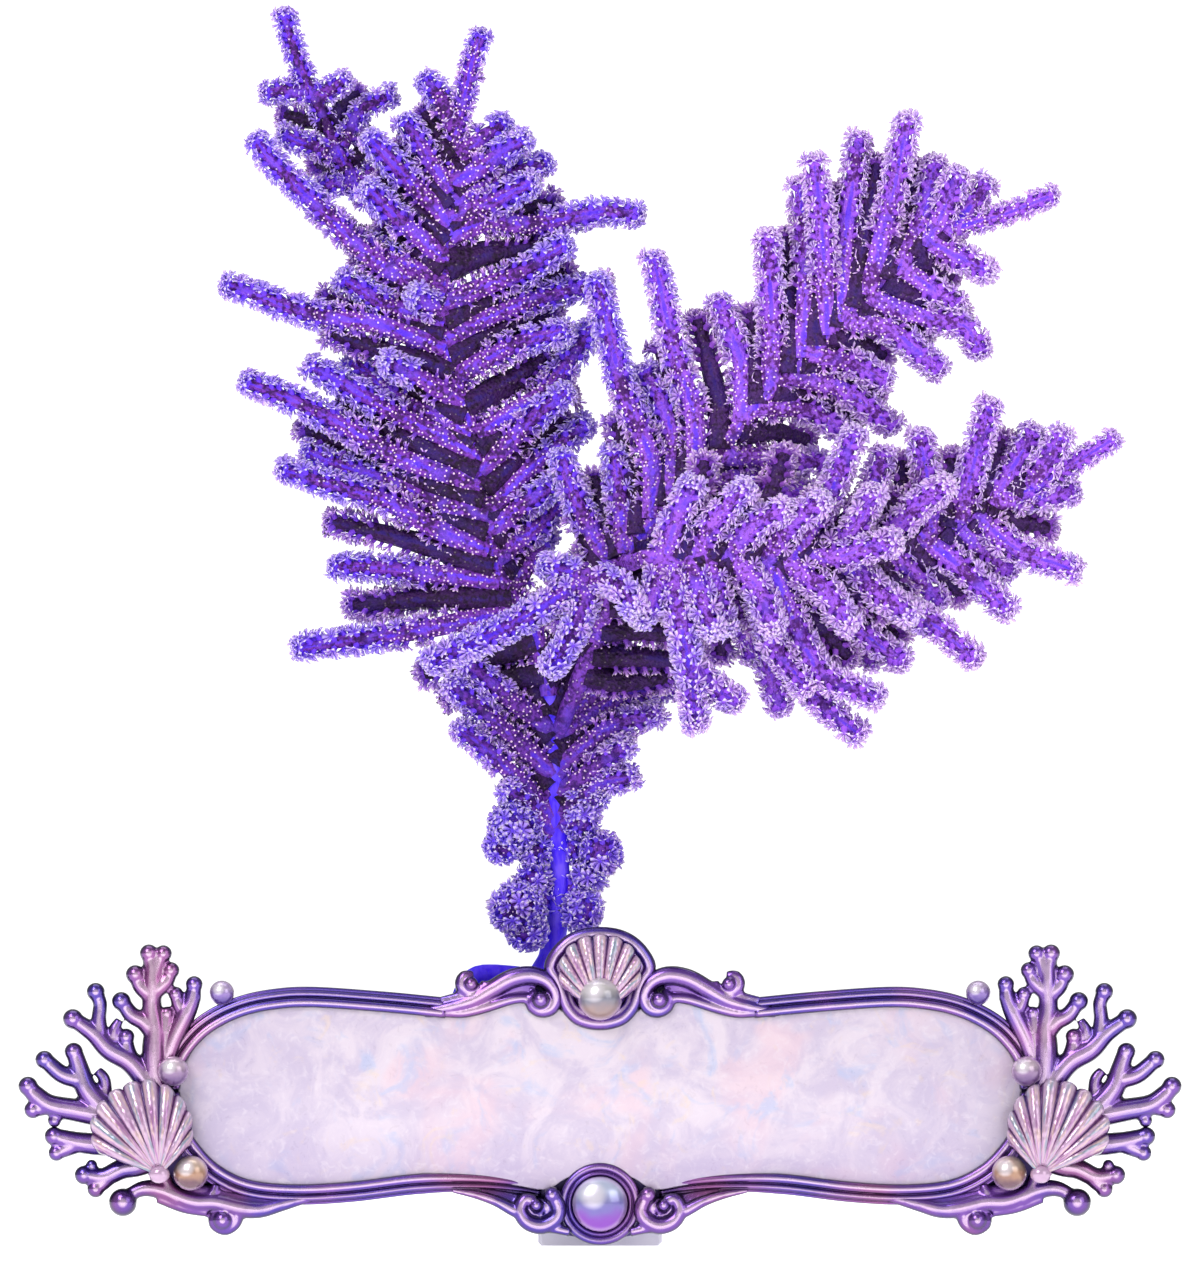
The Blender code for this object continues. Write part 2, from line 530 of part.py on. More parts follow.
def coral_sprays(word, side):
    for name, branches in CORAL.items():
        parts = [flat_tube(f"{name}_{word}_{number}", route, CORAL_Y, side, cutters)
                 for number, route in enumerate(branches)]
        made = parts.pop(0)
        cutters.objects.unlink(made)
        stand.objects.link(made)
        made.name = f"{name}_{word}"
        if name == "scroll_tail":
            parts += [ball_of(f"tail_ball_{word}_{number}", spot, side, cutters)
                      for number, spot in enumerate(TAIL_BALLS)]
        union(made, parts, JOINT_DETAIL)
        room = [rail(f"{name}_room_{word}_{number}", route, side, cutters, GAP)
                for number, route in enumerate((TOP_RAIL, BOTTOM_RAIL))]
        cut(made, room + sockets(f"{name}_{word}", side, [MID_PEARL, LOWER_PEARL]))
        paint(made, resin)


def scallop(name, form, side):
    """A ribbed fan shell: a grid bent into rays from the umbo, thickened."""
    rays, rings = form["ribs"] * 2, 3
    shape = bmesh.new()
    bmesh.ops.create_grid(shape, x_segments=rays, y_segments=rings, size=0.5)
    for vert in shape.verts:
        ray = round((vert.co.x + 0.5) * rays)
        out = vert.co.y + 0.5
        across = ray / rays * 2 - 1
        angle = math.radians(form["turn"] + form["spread"] * across)
        fall, power = form["falls"][across > 0]
        edge = 1 - fall * abs(across) ** power
        reach = form["reach"] * edge * (form["start"] + (1 - form["start"]) * out)
        dome = form["bulge"] * math.sin(math.pi * (0.24 + 0.70 * out)) ** 0.8
        rib = RIB * out * (1 if ray % 2 else -1)
        x = form["umbo"][0] + reach * -math.sin(angle)
        z = form["umbo"][1] + reach * math.cos(angle)
        vert.co = Vector((x * side, form["back"] - dome - rib, z)) * MM
    made = from_bmesh(name, shape, stand)
    wall = made.modifiers.new("Wall", "SOLIDIFY")
    wall.thickness = SHELL_WALL * MM
    wall.offset = 0
    return paint(made, shell)


def crest():
    """Shield between the top scrolls, with a rope edge, cut clear of the scrolls and the pearl."""
    made = slab("crest", both_sides(CREST_OUTLINE), CREST_FRONT, CREST_BACK, stand)
    edge = [(x, CREST_FRONT, z, CREST_ROPE_R) for x, z in both_sides(CREST_OUTLINE)]
    rope = spline("crest_rope", edge, cutters, depth=MM)
    rope.data.splines[0].use_cyclic_u = True
    union(made, [baked(rope, cutters)])
    tools = []
    for word, side in MIRRORED.items():
        tools.append(flat_tube(f"crest_clear_{word}", TOP_SCROLL[2:8], TOP_SCROLL_Y, side, cutters, GAP))
    tools.append(ball_of("crest_seat", (CREST_PEARL_CENTRE, CREST_PEARL_R), 1, cutters, GAP))
    return paint(cut(made, tools), resin)


def boss():
    """Round boss at the foot: a dished ring with a pearl, cut clear of the bottom scrolls."""
    x, z = BOSS_CENTRE
    shape = bmesh.new()
    profile = [(0.0, BOSS_BACK), (BOSS_R, BOSS_BACK), (BOSS_R, -2.6), (BOSS_R - 1.0, -3.8),
               (BOSS_PEARL_R + 0.8, -2.6), (BOSS_PEARL_R, -1.4), (0.0, -1.4)]
    verts = [shape.verts.new(Vector((r, y, 0)) * MM) for r, y in profile]
    edges = [shape.edges.new(pair) for pair in zip(verts, verts[1:])]
    bmesh.ops.spin(shape, geom=verts + edges, cent=(0, 0, 0), axis=(0, 1, 0), angle=math.tau, steps=16)
    bmesh.ops.remove_doubles(shape, verts=shape.verts, dist=0.00001)
    bmesh.ops.translate(shape, verts=shape.verts, vec=Vector((x, 0, z)) * MM)
    ring = from_bmesh("boss_ring", shape, stand)
    tools = [flat_tube(f"boss_clear_{word}", BOTTOM_SCROLL, BOTTOM_SCROLL_Y, side, cutters, GAP)
             for word, side in MIRRORED.items()]
    dome, seat = [(BOSS_PEARL_R + gap, BOSS_PEARL_DOME + gap, BOSS_PEARL_R + gap) for gap in (0, GAP)]
    tools.append(ball("boss_seat", (x, BOTTOM_SCROLL_Y, z), seat, cutters))
    paint(cut(ring, tools), resin)
    paint(ball("boss_pearl", (x, BOTTOM_SCROLL_Y, z), dome, stand), pearl)


def name_plate():
    paint(slab("back_plate", both_sides(PLATE_OUTLINE), PLATE_FRONT, PLATE_BACK, stand), dark_resin)
    paint(slab("pearl_panel", both_sides(PANEL_OUTLINE), PANEL_FRONT, 0, stand), mother_of_pearl)
    for word, side in MIRRORED.items():
        for name, route in (("rail_top", TOP_RAIL), ("rail_bottom", BOTTOM_RAIL)):
            made = rail(f"{name}_{word}", route, side, stand)
            cut(made, sockets(f"{name}_{word}", side, [MID_PEARL, LOWER_PEARL, BEAD]))
        scrolls(word, side)
        pearls(word, side)
        coral_sprays(word, side)
        fan_shell = scallop(f"shell_{word}", SIDE_SHELL, side)
        cut(fan_shell, sockets(f"shell_{word}", side, [MID_PEARL, LOWER_PEARL]))
    crest()
    crown = scallop("crest_shell", CREST_SHELL, 1)
    top_pearl = (CREST_PEARL_CENTRE, CREST_PEARL_R)
    cut(crown, [ball_of("crest_shell_seat", top_pearl, 1, cutters, 2 * GAP)])
    paint(ball_of("crest_pearl", top_pearl, 1, stand), pearl)
    boss()


for old in list(bpy.data.objects):
    bpy.data.objects.remove(old)

coral_tissue = material("coral_tissue", (122, 78, 190), 0.75)
resin = material("resin", (132, 114, 190), 0.25)
dark_resin = material("dark_resin", (88, 72, 140), 0.35)
pale_resin = material("pale_resin", (236, 233, 243), 0.3)
mother_of_pearl = material("mother_of_pearl", (229, 226, 245), 0.25)
pearl = material("pearl", (190, 180, 215), 0.12)
shell = material("shell", (214, 190, 215), 0.22)

sea_fan_on_stand = collection("sea_fan_on_stand")
fan = collection("fan", sea_fan_on_stand)
stand = collection("stand", sea_fan_on_stand)
cutters = collection("cutters")

sea_fan()
plinth()
name_plate()

origin = bpy.data.objects.new("foot_centre", None)
origin.location = (0, -(PLINTH_FRONT + PLINTH_BACK) / 2 * MM, 0)
stand.objects.link(origin)
for piece in list(bpy.data.objects):
    if piece != origin:
        piece.parent = origin
    for change in piece.modifiers:
        change.show_viewport = True
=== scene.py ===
import math

import bmesh
import bpy
import numpy as np
from mathutils import Matrix, Vector


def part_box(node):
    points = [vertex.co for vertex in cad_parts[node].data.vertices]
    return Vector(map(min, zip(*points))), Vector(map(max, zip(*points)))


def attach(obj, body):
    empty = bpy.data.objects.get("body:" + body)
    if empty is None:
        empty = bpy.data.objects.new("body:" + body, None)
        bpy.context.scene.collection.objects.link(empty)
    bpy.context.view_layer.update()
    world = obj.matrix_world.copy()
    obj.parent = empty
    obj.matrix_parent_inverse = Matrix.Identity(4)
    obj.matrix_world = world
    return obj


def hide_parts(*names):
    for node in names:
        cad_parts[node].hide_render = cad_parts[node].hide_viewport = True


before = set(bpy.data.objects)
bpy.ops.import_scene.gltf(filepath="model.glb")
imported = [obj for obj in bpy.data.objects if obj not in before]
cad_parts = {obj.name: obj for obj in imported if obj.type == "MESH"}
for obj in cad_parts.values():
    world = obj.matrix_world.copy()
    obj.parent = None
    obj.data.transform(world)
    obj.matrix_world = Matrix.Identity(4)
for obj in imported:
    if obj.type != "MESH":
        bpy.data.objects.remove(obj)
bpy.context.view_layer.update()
mm = 0.001
jointGap = 0.3  # mm between neighbouring pieces of the stand
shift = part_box("back_plate")[0].y / mm - jointGap  # y of the panel's back face, from which depths count
chance = np.random.default_rng(11)
mirrored = {"left": 1, "right": -1}
home = bpy.context.scene.collection


# Materials

class Wire:  # a shader value that takes part in sums
    def __init__(self, look, socket):
        self.look, self.socket = look, socket

    def sum(self, operation, first, second=0.0):
        return self.look.node("Math", {"operation": operation}, {0: first, 1: second})

    def __add__(self, other):
        return self.sum("ADD", self, other)

    def __sub__(self, other):
        return self.sum("SUBTRACT", self, other)

    def __rsub__(self, other):
        return self.sum("SUBTRACT", other, self)

    def __mul__(self, other):
        return self.sum("MULTIPLY", self, other)

    def __truediv__(self, other):
        return self.sum("DIVIDE", self, other)

    def __abs__(self):
        return self.sum("ABSOLUTE", self)


def tint(red, green, blue):  # sRGB bytes to linear
    return (*[((c / 255 + 0.055) / 1.055) ** 2.4 if c > 10 else c / 3294.6 for c in (red, green, blue)], 1)


class Look:  # one procedural material
    def __init__(self, name):
        self.material = bpy.data.materials.new(name)
        self.material.use_nodes = True
        self.tree = self.material.node_tree
        self.place = self.node("TexCoord", {}, {}, "Object")
        self.x, self.y, self.z = [self.node("SeparateXYZ", {}, {0: self.place}, axis) / mm for axis in "XYZ"]

    def node(self, kind, settings, inputs, output=0):
        made = self.tree.nodes.new("ShaderNode" + kind)
        for key, value in settings.items():
            setattr(made, key, value)
        for key, value in inputs.items():
            self.plug(made.inputs[key], value)
        return Wire(self, made.outputs[output])

    def plug(self, socket, value):
        if isinstance(value, Wire):
            self.tree.links.new(value.socket, socket)
        else:
            socket.default_value = value

    def noise(self, size, detail=2.0, rough=0.5, distortion=0.0):  # size of a patch in mm
        return self.node("TexNoise", {}, {"Vector": self.place, "Scale": 1 / size / mm, "Detail": detail,
                                          "Roughness": rough, "Distortion": distortion})

    def cells(self, size):
        return self.node("TexVoronoi", {"feature": "F1"}, {"Vector": self.place, "Scale": 1 / size / mm})

    def rise(self, value, low, high, start=0.0, end=1.0):
        return self.node("MapRange", {"interpolation_type": "SMOOTHSTEP"},
                         {"Value": value, "From Min": low, "From Max": high, "To Min": start, "To Max": end})

    def mixed(self, share, first, second):
        return self.node("Mix", {"data_type": "RGBA"}, {0: share, 6: first, 7: second}, 2)

    def attribute(self, name):
        return self.node("Attribute", {"attribute_name": name}, {}, "Fac")

    def bump(self, height, depth):  # depth in mm
        return self.node("Bump", {}, {"Height": height, "Distance": depth * mm, "Strength": 1.0})

    def facing(self):  # 1 where a surface looks along the plate's front or back
        return abs(self.node("SeparateXYZ", {}, {0: self.node("NewGeometry", {}, {}, "Normal")}, "Y"))

    def surface(self, inputs):
        shader = self.tree.nodes["Principled BSDF"]
        for key, value in inputs.items():
            self.plug(shader.inputs[key], value)
        return self.material


def twigMaterial(name, depth):  # mauve flesh, thin violet ribs toward and away from the viewer; depth 0 to 1 darkens the whole colour toward near-black, painted shade
    look = Look(name)
    facing = look.facing()
    grain, patch = look.noise(1.1, 3), look.noise(9, 2)
    bare = look.rise(facing + (grain - 0.5) * 0.2 + (patch - 0.5) * 0.3, 0.96, 1.03)
    vivid = look.mixed(look.rise(look.noise(5), 0.35, 0.65), tint(82, 42, 240), tint(114, 70, 255))
    # flanks darker toward the left of the colony and paler toward the right
    right = look.rise(look.x + (patch - 0.5) * 60, -30, 40)
    darkFlank = look.mixed(right, tint(58, 16, 88), tint(84, 32, 116))
    paleFlank = look.mixed(right, tint(126, 58, 182), tint(168, 98, 236))
    flank = look.mixed(look.rise(grain + (patch - 0.5) * 0.6, 0.34, 0.6), darkFlank, paleFlank)
    flank = look.mixed(look.rise(look.noise(6, 2, 0.5, 0.4), 0.5, 0.68) * 0.6, flank, tint(124, 78, 240))
    fleck = look.rise(look.cells(1.5), 0.22, 0.1)
    colour = look.mixed(bare * 0.85, look.mixed(fleck * 0.8, flank, tint(240, 214, 240)), vivid)
    # darker violet toward the fork below about 165 mm: painted shade
    colour = look.mixed(look.rise(look.z, 165.0, 130.0) * 0.35, colour, tint(40, 10, 110))
    # painted shade: the whole colour darkened toward near-black by the depth share, for the shaded copy of this
    # material
    colour = look.mixed(depth, colour, tint(18, 1, 16))
    return look.surface({"Base Color": colour, "Roughness": look.rise(grain, 0, 1, 0.5, 0.7),
                         "Specular IOR Level": 0.22, "Normal": look.bump(look.cells(0.9) + grain, 0.4)})


def barkMaterial():  # bare trunk and holdfast
    look = Look("trunk_tissue")
    streak = look.node("TexNoise", {}, {"Vector": look.node("Mapping", {}, {
        "Vector": look.place, "Scale": (1.6, 1.6, 0.35)}), "Scale": 420.0, "Detail": 4.0, "Roughness": 0.6})
    broad = look.noise(7, 3)
    colour = look.mixed(look.rise(streak, 0.36, 0.62), tint(66, 26, 255), tint(100, 66, 255))
    colour = look.mixed(look.rise(broad, 0.55, 0.72) * 0.6, colour, tint(124, 94, 255))
    colour = look.mixed(look.rise(look.z, 76.0, 64.0) * 0.8, colour, tint(40, 8, 190))
    return look.surface({"Base Color": colour, "Roughness": look.rise(streak, 0.3, 0.7, 0.42, 0.62),
                         "Specular IOR Level": 0.25,
                         "Normal": look.bump(streak, 0.5)})


def polypMaterial():
    look = Look("polyp_tissue")
    tip, tone, odd = look.attribute("tip"), look.attribute("tone"), look.attribute("odd")
    right = look.rise(look.noise(20, 2) * 50 + look.x, 0, 80)
    body = look.mixed(tone, look.mixed(odd, tint(78, 28, 92), tint(122, 56, 146)),
                      look.mixed(right, tint(112, 62, 248), tint(164, 90, 240)))
    arm = look.mixed(tone, look.mixed(odd, tint(156, 90, 206), tint(204, 134, 236)),
                     look.mixed(look.rise(odd + right, 0.3, 1.6), tint(174, 144, 255), tint(226, 186, 255)))
    colour = look.mixed(look.rise(tip, 0.15, 0.5), body, arm)
    colour = look.mixed(look.rise(look.z, 125.0, 105.0) * 0.4, colour, tint(92, 70, 255))
    pale = look.mixed(tone, tint(250, 220, 238), tint(246, 236, 255))
    colour = look.mixed(look.rise(tip, 0.55, 0.95) * (0.98 - tone * 0.12), colour, pale)
    return look.surface({"Base Color": colour, "Specular IOR Level": 0.25,
                         "Roughness": look.rise(tip, 0, 1, 0.6, 0.4)})


def castMaterial(name, shaded, low, high, rosy, crest):  # polished; darker in the grooves and round the edges, painted shade; paler where a face looks straight out of the front, painted highlight
    look = Look(name)
    front, facing = shift - look.y, look.facing()
    broad, fine = look.noise(16, 2), look.noise(2.4, 3)
    # lift falls to 0 round the edges and near the plate, where the colour turns to the shaded colour: painted shade
    lift = look.rise(facing + (broad - 0.5) * 0.2, 0.36, 0.97) * look.rise(front, 1.8, 3.6, 0.2, 1)
    colour = look.mixed(look.rise(broad, 0.38, 0.62), low, high)
    colour = look.mixed(look.rise(look.noise(24, 1, 0.4), 0.5, 0.72) * 0.7, colour, rosy)
    colour = look.mixed(lift, shaded, colour)
    # pale crest colour where a face looks straight out of the front: painted highlight
    colour = look.mixed(look.rise(facing, 0.92, 1.0) * look.rise(front, 3.2, 4.8) * 0.6, colour, crest)
    return look.surface({"Base Color": colour, "Metallic": 0.72, "Coat Weight": 0.7,
                         "Coat Roughness": 0.06, "Roughness": look.rise(fine, 0.3, 0.7, 0.2, 0.28),
                         "Normal": look.bump(fine, 0.03)})


def plateMaterial():
    look = Look("dark_resin")
    fine, broad = look.noise(1.2, 4), look.noise(26, 2)
    colour = look.mixed(look.rise(broad, 0.35, 0.65), tint(50, 34, 98), tint(78, 58, 132))
    colour = look.mixed(look.rise(look.noise(3, 3), 0.62, 0.7) * 0.35, colour, tint(108, 90, 160))
    return look.surface({"Base Color": colour, "Roughness": look.rise(fine, 0.3, 0.7, 0.34, 0.5),
                         "Metallic": 0.2, "Normal": look.bump(fine, 0.08)})


def nacreMaterial():
    look = Look("mother_of_pearl")
    swirl, cloud, fine = look.noise(13, 5, 0.62, 1.2), look.noise(24, 3, 0.5, 0.6), look.noise(2.6, 5, 0.65, 0.8)
    colour = look.mixed(look.rise(swirl, 0.36, 0.62), tint(186, 174, 196), tint(206, 194, 206))
    colour = look.mixed(look.rise(cloud, 0.52, 0.68) * 0.5, colour, tint(214, 182, 192))
    colour = look.mixed(look.rise(look.noise(12, 4, 0.6, 1.0), 0.54, 0.7) * 0.55, colour, tint(160, 176, 210))
    colour = look.mixed(look.rise(look.noise(9, 4, 0.6, 1.2), 0.58, 0.72) * 0.45, colour, tint(216, 194, 172))
    # darker toward the bottom and toward both ends of the panel: painted shade round the edges
    colour = look.mixed(look.rise(look.z, 34, 12) * 0.5, colour, tint(154, 134, 178))
    colour = look.mixed(look.rise(abs(look.x), 55, 104) * 0.35, colour, tint(160, 146, 182))
    colour = look.mixed(look.rise(fine, 0.5, 0.7) * 0.4, colour, tint(214, 206, 214))
    return look.surface({"Base Color": colour, "Roughness": look.rise(fine, 0.3, 0.7, 0.26, 0.42),
                         "Coat Weight": 0.4, "Coat Roughness": 0.15, "Normal": look.bump(fine, 0.05)})


def pearlMaterial(name, centre, radius, top, middle, bottom):
    look = Look(name)
    height = (look.z - centre[1]) / radius
    side = (look.x - centre[0]) / radius
    drift = (look.noise(radius * 0.9, 2) - 0.5) * 0.7
    # top colour above the middle, bottom colour below: lighter on top and darker below, painted light and shade in
    # the pearl's own hues
    colour = look.mixed(look.rise(height + drift, -0.1, 0.55), middle, top)
    colour = look.mixed(look.rise(height + drift, -0.05, -0.6), colour, bottom)
    # glow: a pale spot up and to the left, painted highlight
    glow = look.rise((height - 0.34) * (height - 0.34) + (side + 0.26) * (side + 0.26), 0.34, 0.02)
    colour = look.mixed(glow * 0.75, colour, tint(232, 224, 232))
    # rim: paler round the outline, painted sheen
    rim = look.rise(height * height + side * side, 0.62, 0.96)
    colour = look.mixed(rim * 0.55, colour, tint(196, 168, 204))
    return look.surface({"Base Color": colour, "Roughness": 0.26, "Metallic": 0.45, "Coat Weight": 0.9,
                         "Coat Roughness": 0.05, "Normal": look.bump(look.noise(0.7, 2), 0.01)})


def shellMaterial():  # nacre on the ribs in streaks along them; mauve in the valleys, darker in the furrows and where the surface turns from the front, painted shade; paler toward the outer edge, painted rim light
    look = Look("shell_nacre")
    ridge, out, across = look.attribute("ridge"), look.attribute("out"), look.attribute("across")
    streaks = look.node("CombineXYZ", {}, {0: across * 7.0, 1: out * 0.8, 2: 0.0})
    hue = look.node("TexNoise", {}, {"Vector": streaks, "Scale": 1.6, "Detail": 2.0, "Roughness": 0.5})
    fine = look.node("TexNoise", {}, {"Vector": streaks, "Scale": 5.0, "Detail": 2.0, "Roughness": 0.5})
    colour = look.mixed(look.rise(hue, 0.36, 0.5), tint(134, 148, 166), tint(190, 158, 188))
    colour = look.mixed(look.rise(hue, 0.52, 0.64) * 0.9, colour, tint(156, 100, 156))
    colour = look.mixed(look.rise(fine, 0.5, 0.66) * 0.8, colour, tint(212, 182, 176))
    # paler toward the outer edge: painted rim light
    colour = look.mixed(look.rise(out, 0.9, 1.0) * 0.6, colour, tint(206, 186, 208))
    valley = look.mixed(look.rise(hue, 0.4, 0.6), tint(66, 30, 112), tint(104, 46, 112))
    # mauve valley colour in the furrows and where the surface turns away from the front: painted shade
    colour = look.mixed(look.rise(ridge + look.facing() * 0.3, 0.46, 1.02), valley, colour)
    growth = look.node("Math", {"operation": "SINE"}, {0: out * 60.0 + hue * 6.0})
    return look.surface({"Base Color": colour, "Roughness": look.rise(growth, -1, 1, 0.18, 0.26),
                         "Metallic": 0.35, "Coat Weight": 0.7, "Coat Roughness": 0.08,
                         "Normal": look.bump(growth, 0.03)})


def paleMaterial():  # the plinth behind the plate
    look = Look("pale_resin")
    fine = look.noise(1.6, 4)
    colour = look.mixed(look.rise(look.noise(20, 3), 0.35, 0.65), tint(218, 214, 228), tint(236, 233, 243))
    return look.surface({"Base Color": colour, "Roughness": look.rise(fine, 0.3, 0.7, 0.4, 0.55),
                         "Normal": look.bump(fine, 0.05)})


def stageMaterial(name, glow):
    look = Look(name)
    colour = look.mixed(look.noise(300, 2), tint(250, 250, 252), tint(252, 252, 253))
    return look.surface({"Base Color": colour, "Roughness": 0.9, "Emission Color": (1, 1, 1, 1),
                         "Emission Strength": glow})


# the second copy is darkened throughout: painted shade for twigs behind the front ones
twigSkin, shadedSkin = twigMaterial("twig_tissue", 0.0), twigMaterial("shaded_tissue", 0.84)
barkSkin, polypSkin = barkMaterial(), polypMaterial()
# colours: painted shade for grooves and edges, low, high, rosy, painted highlight for the crests
castSkin = castMaterial("cast_resin", tint(14, 2, 46), tint(76, 50, 158), tint(112, 66, 158), tint(156, 82, 118),
                        tint(244, 214, 236))
plateSkin, nacreSkin, shellSkin = plateMaterial(), nacreMaterial(), shellMaterial()
print("materials ready")


# Helpers

def keep(piece, skin, slot, *nodes):  # one finished piece of the object
    piece.data.materials.clear()
    piece.data.materials.append(skin)
    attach(piece, "root")
    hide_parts(*nodes)
    return piece


def linked(name, data):
    piece = bpy.data.objects.new(name, data)
    home.objects.link(piece)
    return piece


def meshPiece(name, shape):
    bmesh.ops.recalc_face_normals(shape, faces=shape.faces)
    mesh = bpy.data.meshes.new(name)
    shape.to_mesh(mesh)
    shape.free()
    mesh.shade_smooth()
    return linked(name, mesh)


def smoothRoute(points, step, closed=False):  # evenly spaced samples of a Catmull-Rom curve, mm
    knots = np.array(points, float)
    if closed:
        knots = np.vstack([knots[-1], knots, knots[0], knots[1]])
    else:
        knots = np.vstack([2 * knots[0] - knots[1], knots, 2 * knots[-1] - knots[-2]])
    dense = []
    for a, b, c, d in zip(knots, knots[1:], knots[2:], knots[3:]):
        for t in np.linspace(0, 1, 10, endpoint=False):
            dense.append(b + (c - a) * t / 2 + (2 * a - 5 * b + 4 * c - d) * t * t / 2
                         + (3 * b - a - 3 * c + d) * t ** 3 / 2)
    dense.append(knots[-2])
    dense = np.array(dense)
    lengths = np.r_[0, np.cumsum(np.linalg.norm(np.diff(dense[:, :3], axis=0), axis=1))]
    spots = np.linspace(0, lengths[-1], max(2, round(lengths[-1] / step) + 1))
    made = np.stack([np.interp(spots, lengths, column) for column in dense.T], 1)
    return made[:-1] if closed else made


def tubes(name, routes, sides=8, closed=False):  # routes of x, y, z, radius in mm
    data = bpy.data.curves.new(name, "CURVE")
    data.dimensions = "3D"
    data.bevel_depth = mm
    data.bevel_resolution = (sides - 4) // 2
    data.use_fill_caps = True
    for route in routes:
        line = data.splines.new("POLY")
        line.points.add(len(route) - 1)
        line.use_cyclic_u = closed
        for point, (x, y, z, radius) in zip(line.points, route):
            point.co = (x * mm, (y + shift) * mm, z * mm, 1)
            point.radius = radius
    return linked(name, data)


def baked(piece):  # the evaluated object as a bmesh; the object is removed
    bpy.context.view_layer.update()
    evaluated = piece.evaluated_get(bpy.context.evaluated_depsgraph_get())
    mesh = bpy.data.meshes.new_from_object(evaluated)
    shape = bmesh.new()
    shape.from_mesh(mesh)
    bpy.data.meshes.remove(mesh)
    bpy.data.objects.remove(piece)
    return shape


def addBall(shape, centre, halves, rings=24):
    place = Matrix.Translation(Vector((centre[0], centre[1] + shift, centre[2])) * mm)
    size = Matrix.Diagonal((*[half * mm for half in halves], 1))
    turn = Matrix.Rotation(math.pi / 2, 4, "X")
    bmesh.ops.create_uvsphere(shape, u_segments=rings * 2, v_segments=rings, radius=1,
                              matrix=place @ size @ turn)


def fused(name, shape, voxel, rounds):  # one skin round overlapping closed shapes
    piece = meshPiece(name, shape)
    skin = piece.modifiers.new("Skin", "REMESH")
    skin.mode = "VOXEL"
    skin.voxel_size = voxel * mm
    shape = baked(piece)
    for _ in range(rounds):
        bmesh.ops.smooth_vert(shape, verts=shape.verts, factor=0.5, use_axis_x=True, use_axis_y=True,
                              use_axis_z=True)
    return meshPiece(name, shape)


def slab(name, outline, front, back, rounding):  # a plate in the xz plane with softened edges
    data = bpy.data.curves.new(name, "CURVE")
    data.dimensions = "2D"
    data.fill_mode = "BOTH"
    data.extrude = ((back - front) / 2 - rounding) * mm
    data.bevel_depth = rounding * mm
    data.bevel_resolution = 2
    data.offset = -rounding * mm
    line = data.splines.new("POLY")
    line.points.add(len(outline) - 1)
    line.use_cyclic_u = True
    for point, (x, z) in zip(line.points, outline):
        point.co = (x * mm, z * mm, 0, 1)
    shape = baked(linked(name, data))
    bmesh.ops.remove_doubles(shape, verts=shape.verts, dist=0.01 * mm)
    stand = Matrix.Translation((0, ((front + back) / 2 + shift) * mm, 0)) @ Matrix.Rotation(math.pi / 2, 4, "X")
    bmesh.ops.transform(shape, matrix=stand, verts=shape.verts)
    return shape


def bothSides(half):
    return half + [(-x, z) for x, z in reversed(half[1:-1])]


# Polyps: four forms, joined into large meshes

def armsForm(reach, rises, widths, count):  # a stalk with a ring of tapering arms; radii, heights, half widths
    sides = 6
    turns = np.arange(sides) * math.tau / sides
    ring = np.stack([np.cos(turns), np.sin(turns)], 1)
    points = [(*p * 0.62, -0.2) for p in ring] + [(*p * 0.44, 1.05) for p in ring] + [(0, 0, 0.85)]
    shares = [0.0] * sides + [0.3] * sides + [0.1]
    faces = []
    for k in range(sides):
        n = (k + 1) % sides
        faces += [(k, n, n + sides), (k, n + sides, k + sides), (k + sides, n + sides, 2 * sides)]
    for arm in range(count):
        angle = math.tau * (arm + 0.12 * math.sin(arm * 2.4)) / count
        c, s = math.cos(angle), math.sin(angle)
        lift = 0.14 * math.sin(arm * 4.1)
        first = len(points)
        for (r, z), w in zip(zip(reach[:2], rises[:2]), widths):
            for across, down in ((w, 0.05), (-w, 0.05), (0, -0.16)):
                points.append((r * c - across * s, r * s + across * c, z + down + lift * (r > 0.5)))
        points.append((reach[2] * c, reach[2] * s, rises[2] + lift * 1.6))
        shares += [0.35] * 3 + [0.72] * 3 + [1.0]
        for k in range(3):
            n = (k + 1) % 3
            a, b, p, q = first + k, first + n, first + 3 + k, first + 3 + n
            faces += [(a, b, q), (a, q, p), (p, q, first + 6)]
    return np.array(points), np.array(faces), np.array(shares)


def budForm():  # a closed polyp
    turns = np.arange(5) * math.tau / 5
    points = [(r * math.cos(a), r * math.sin(a), z) for r, z in ((0.62, -0.4), (0.5, 0.5)) for a in turns]
    faces = []
    for k in range(5):
        n = (k + 1) % 5
        faces += [(k, n, 5 + n), (k, 5 + n, 5 + k), (5 + k, 5 + n, 10)]
    return np.array(points + [(0, 0, 0.95)]), np.array(faces), np.array([0.1] * 5 + [0.9] * 5 + [1.0])


goldenAngle = 2.39996  # radians between neighbours on a spiral
dotPitch = 1.6  # mm between rows of closed polyps
kindLimits = (0.12, 0.36, 0.62)  # tones below which a polyp is a bud, closing, half open
mostTriangles = 190000  # in one mesh
polypForms = [
    budForm(),
    armsForm((0.34, 0.8, 0.62), (1.0, 1.85, 2.25), (0.18, 0.3), 6),  # closing
    armsForm((0.34, 1.15, 1.45), (1.0, 1.85, 2.2), (0.17, 0.38), 7),  # half open
    armsForm((0.34, 1.4, 1.85), (1.0, 1.6, 1.5), (0.17, 0.42), 7),  # open
]
ringAngles = ((57, -57, 108, -108, 165), (82, -82, 136, -136))
innerAngles = ((84, -84, 140), (100, -100, 180))
dotAngles = ((22, -22, 62, -62), (42, -42, 82, -82), (10, -30, 50, -55, 75))


def unit(rows):
    return rows / np.maximum(np.linalg.norm(rows, axis=-1, keepdims=True), 1e-9)


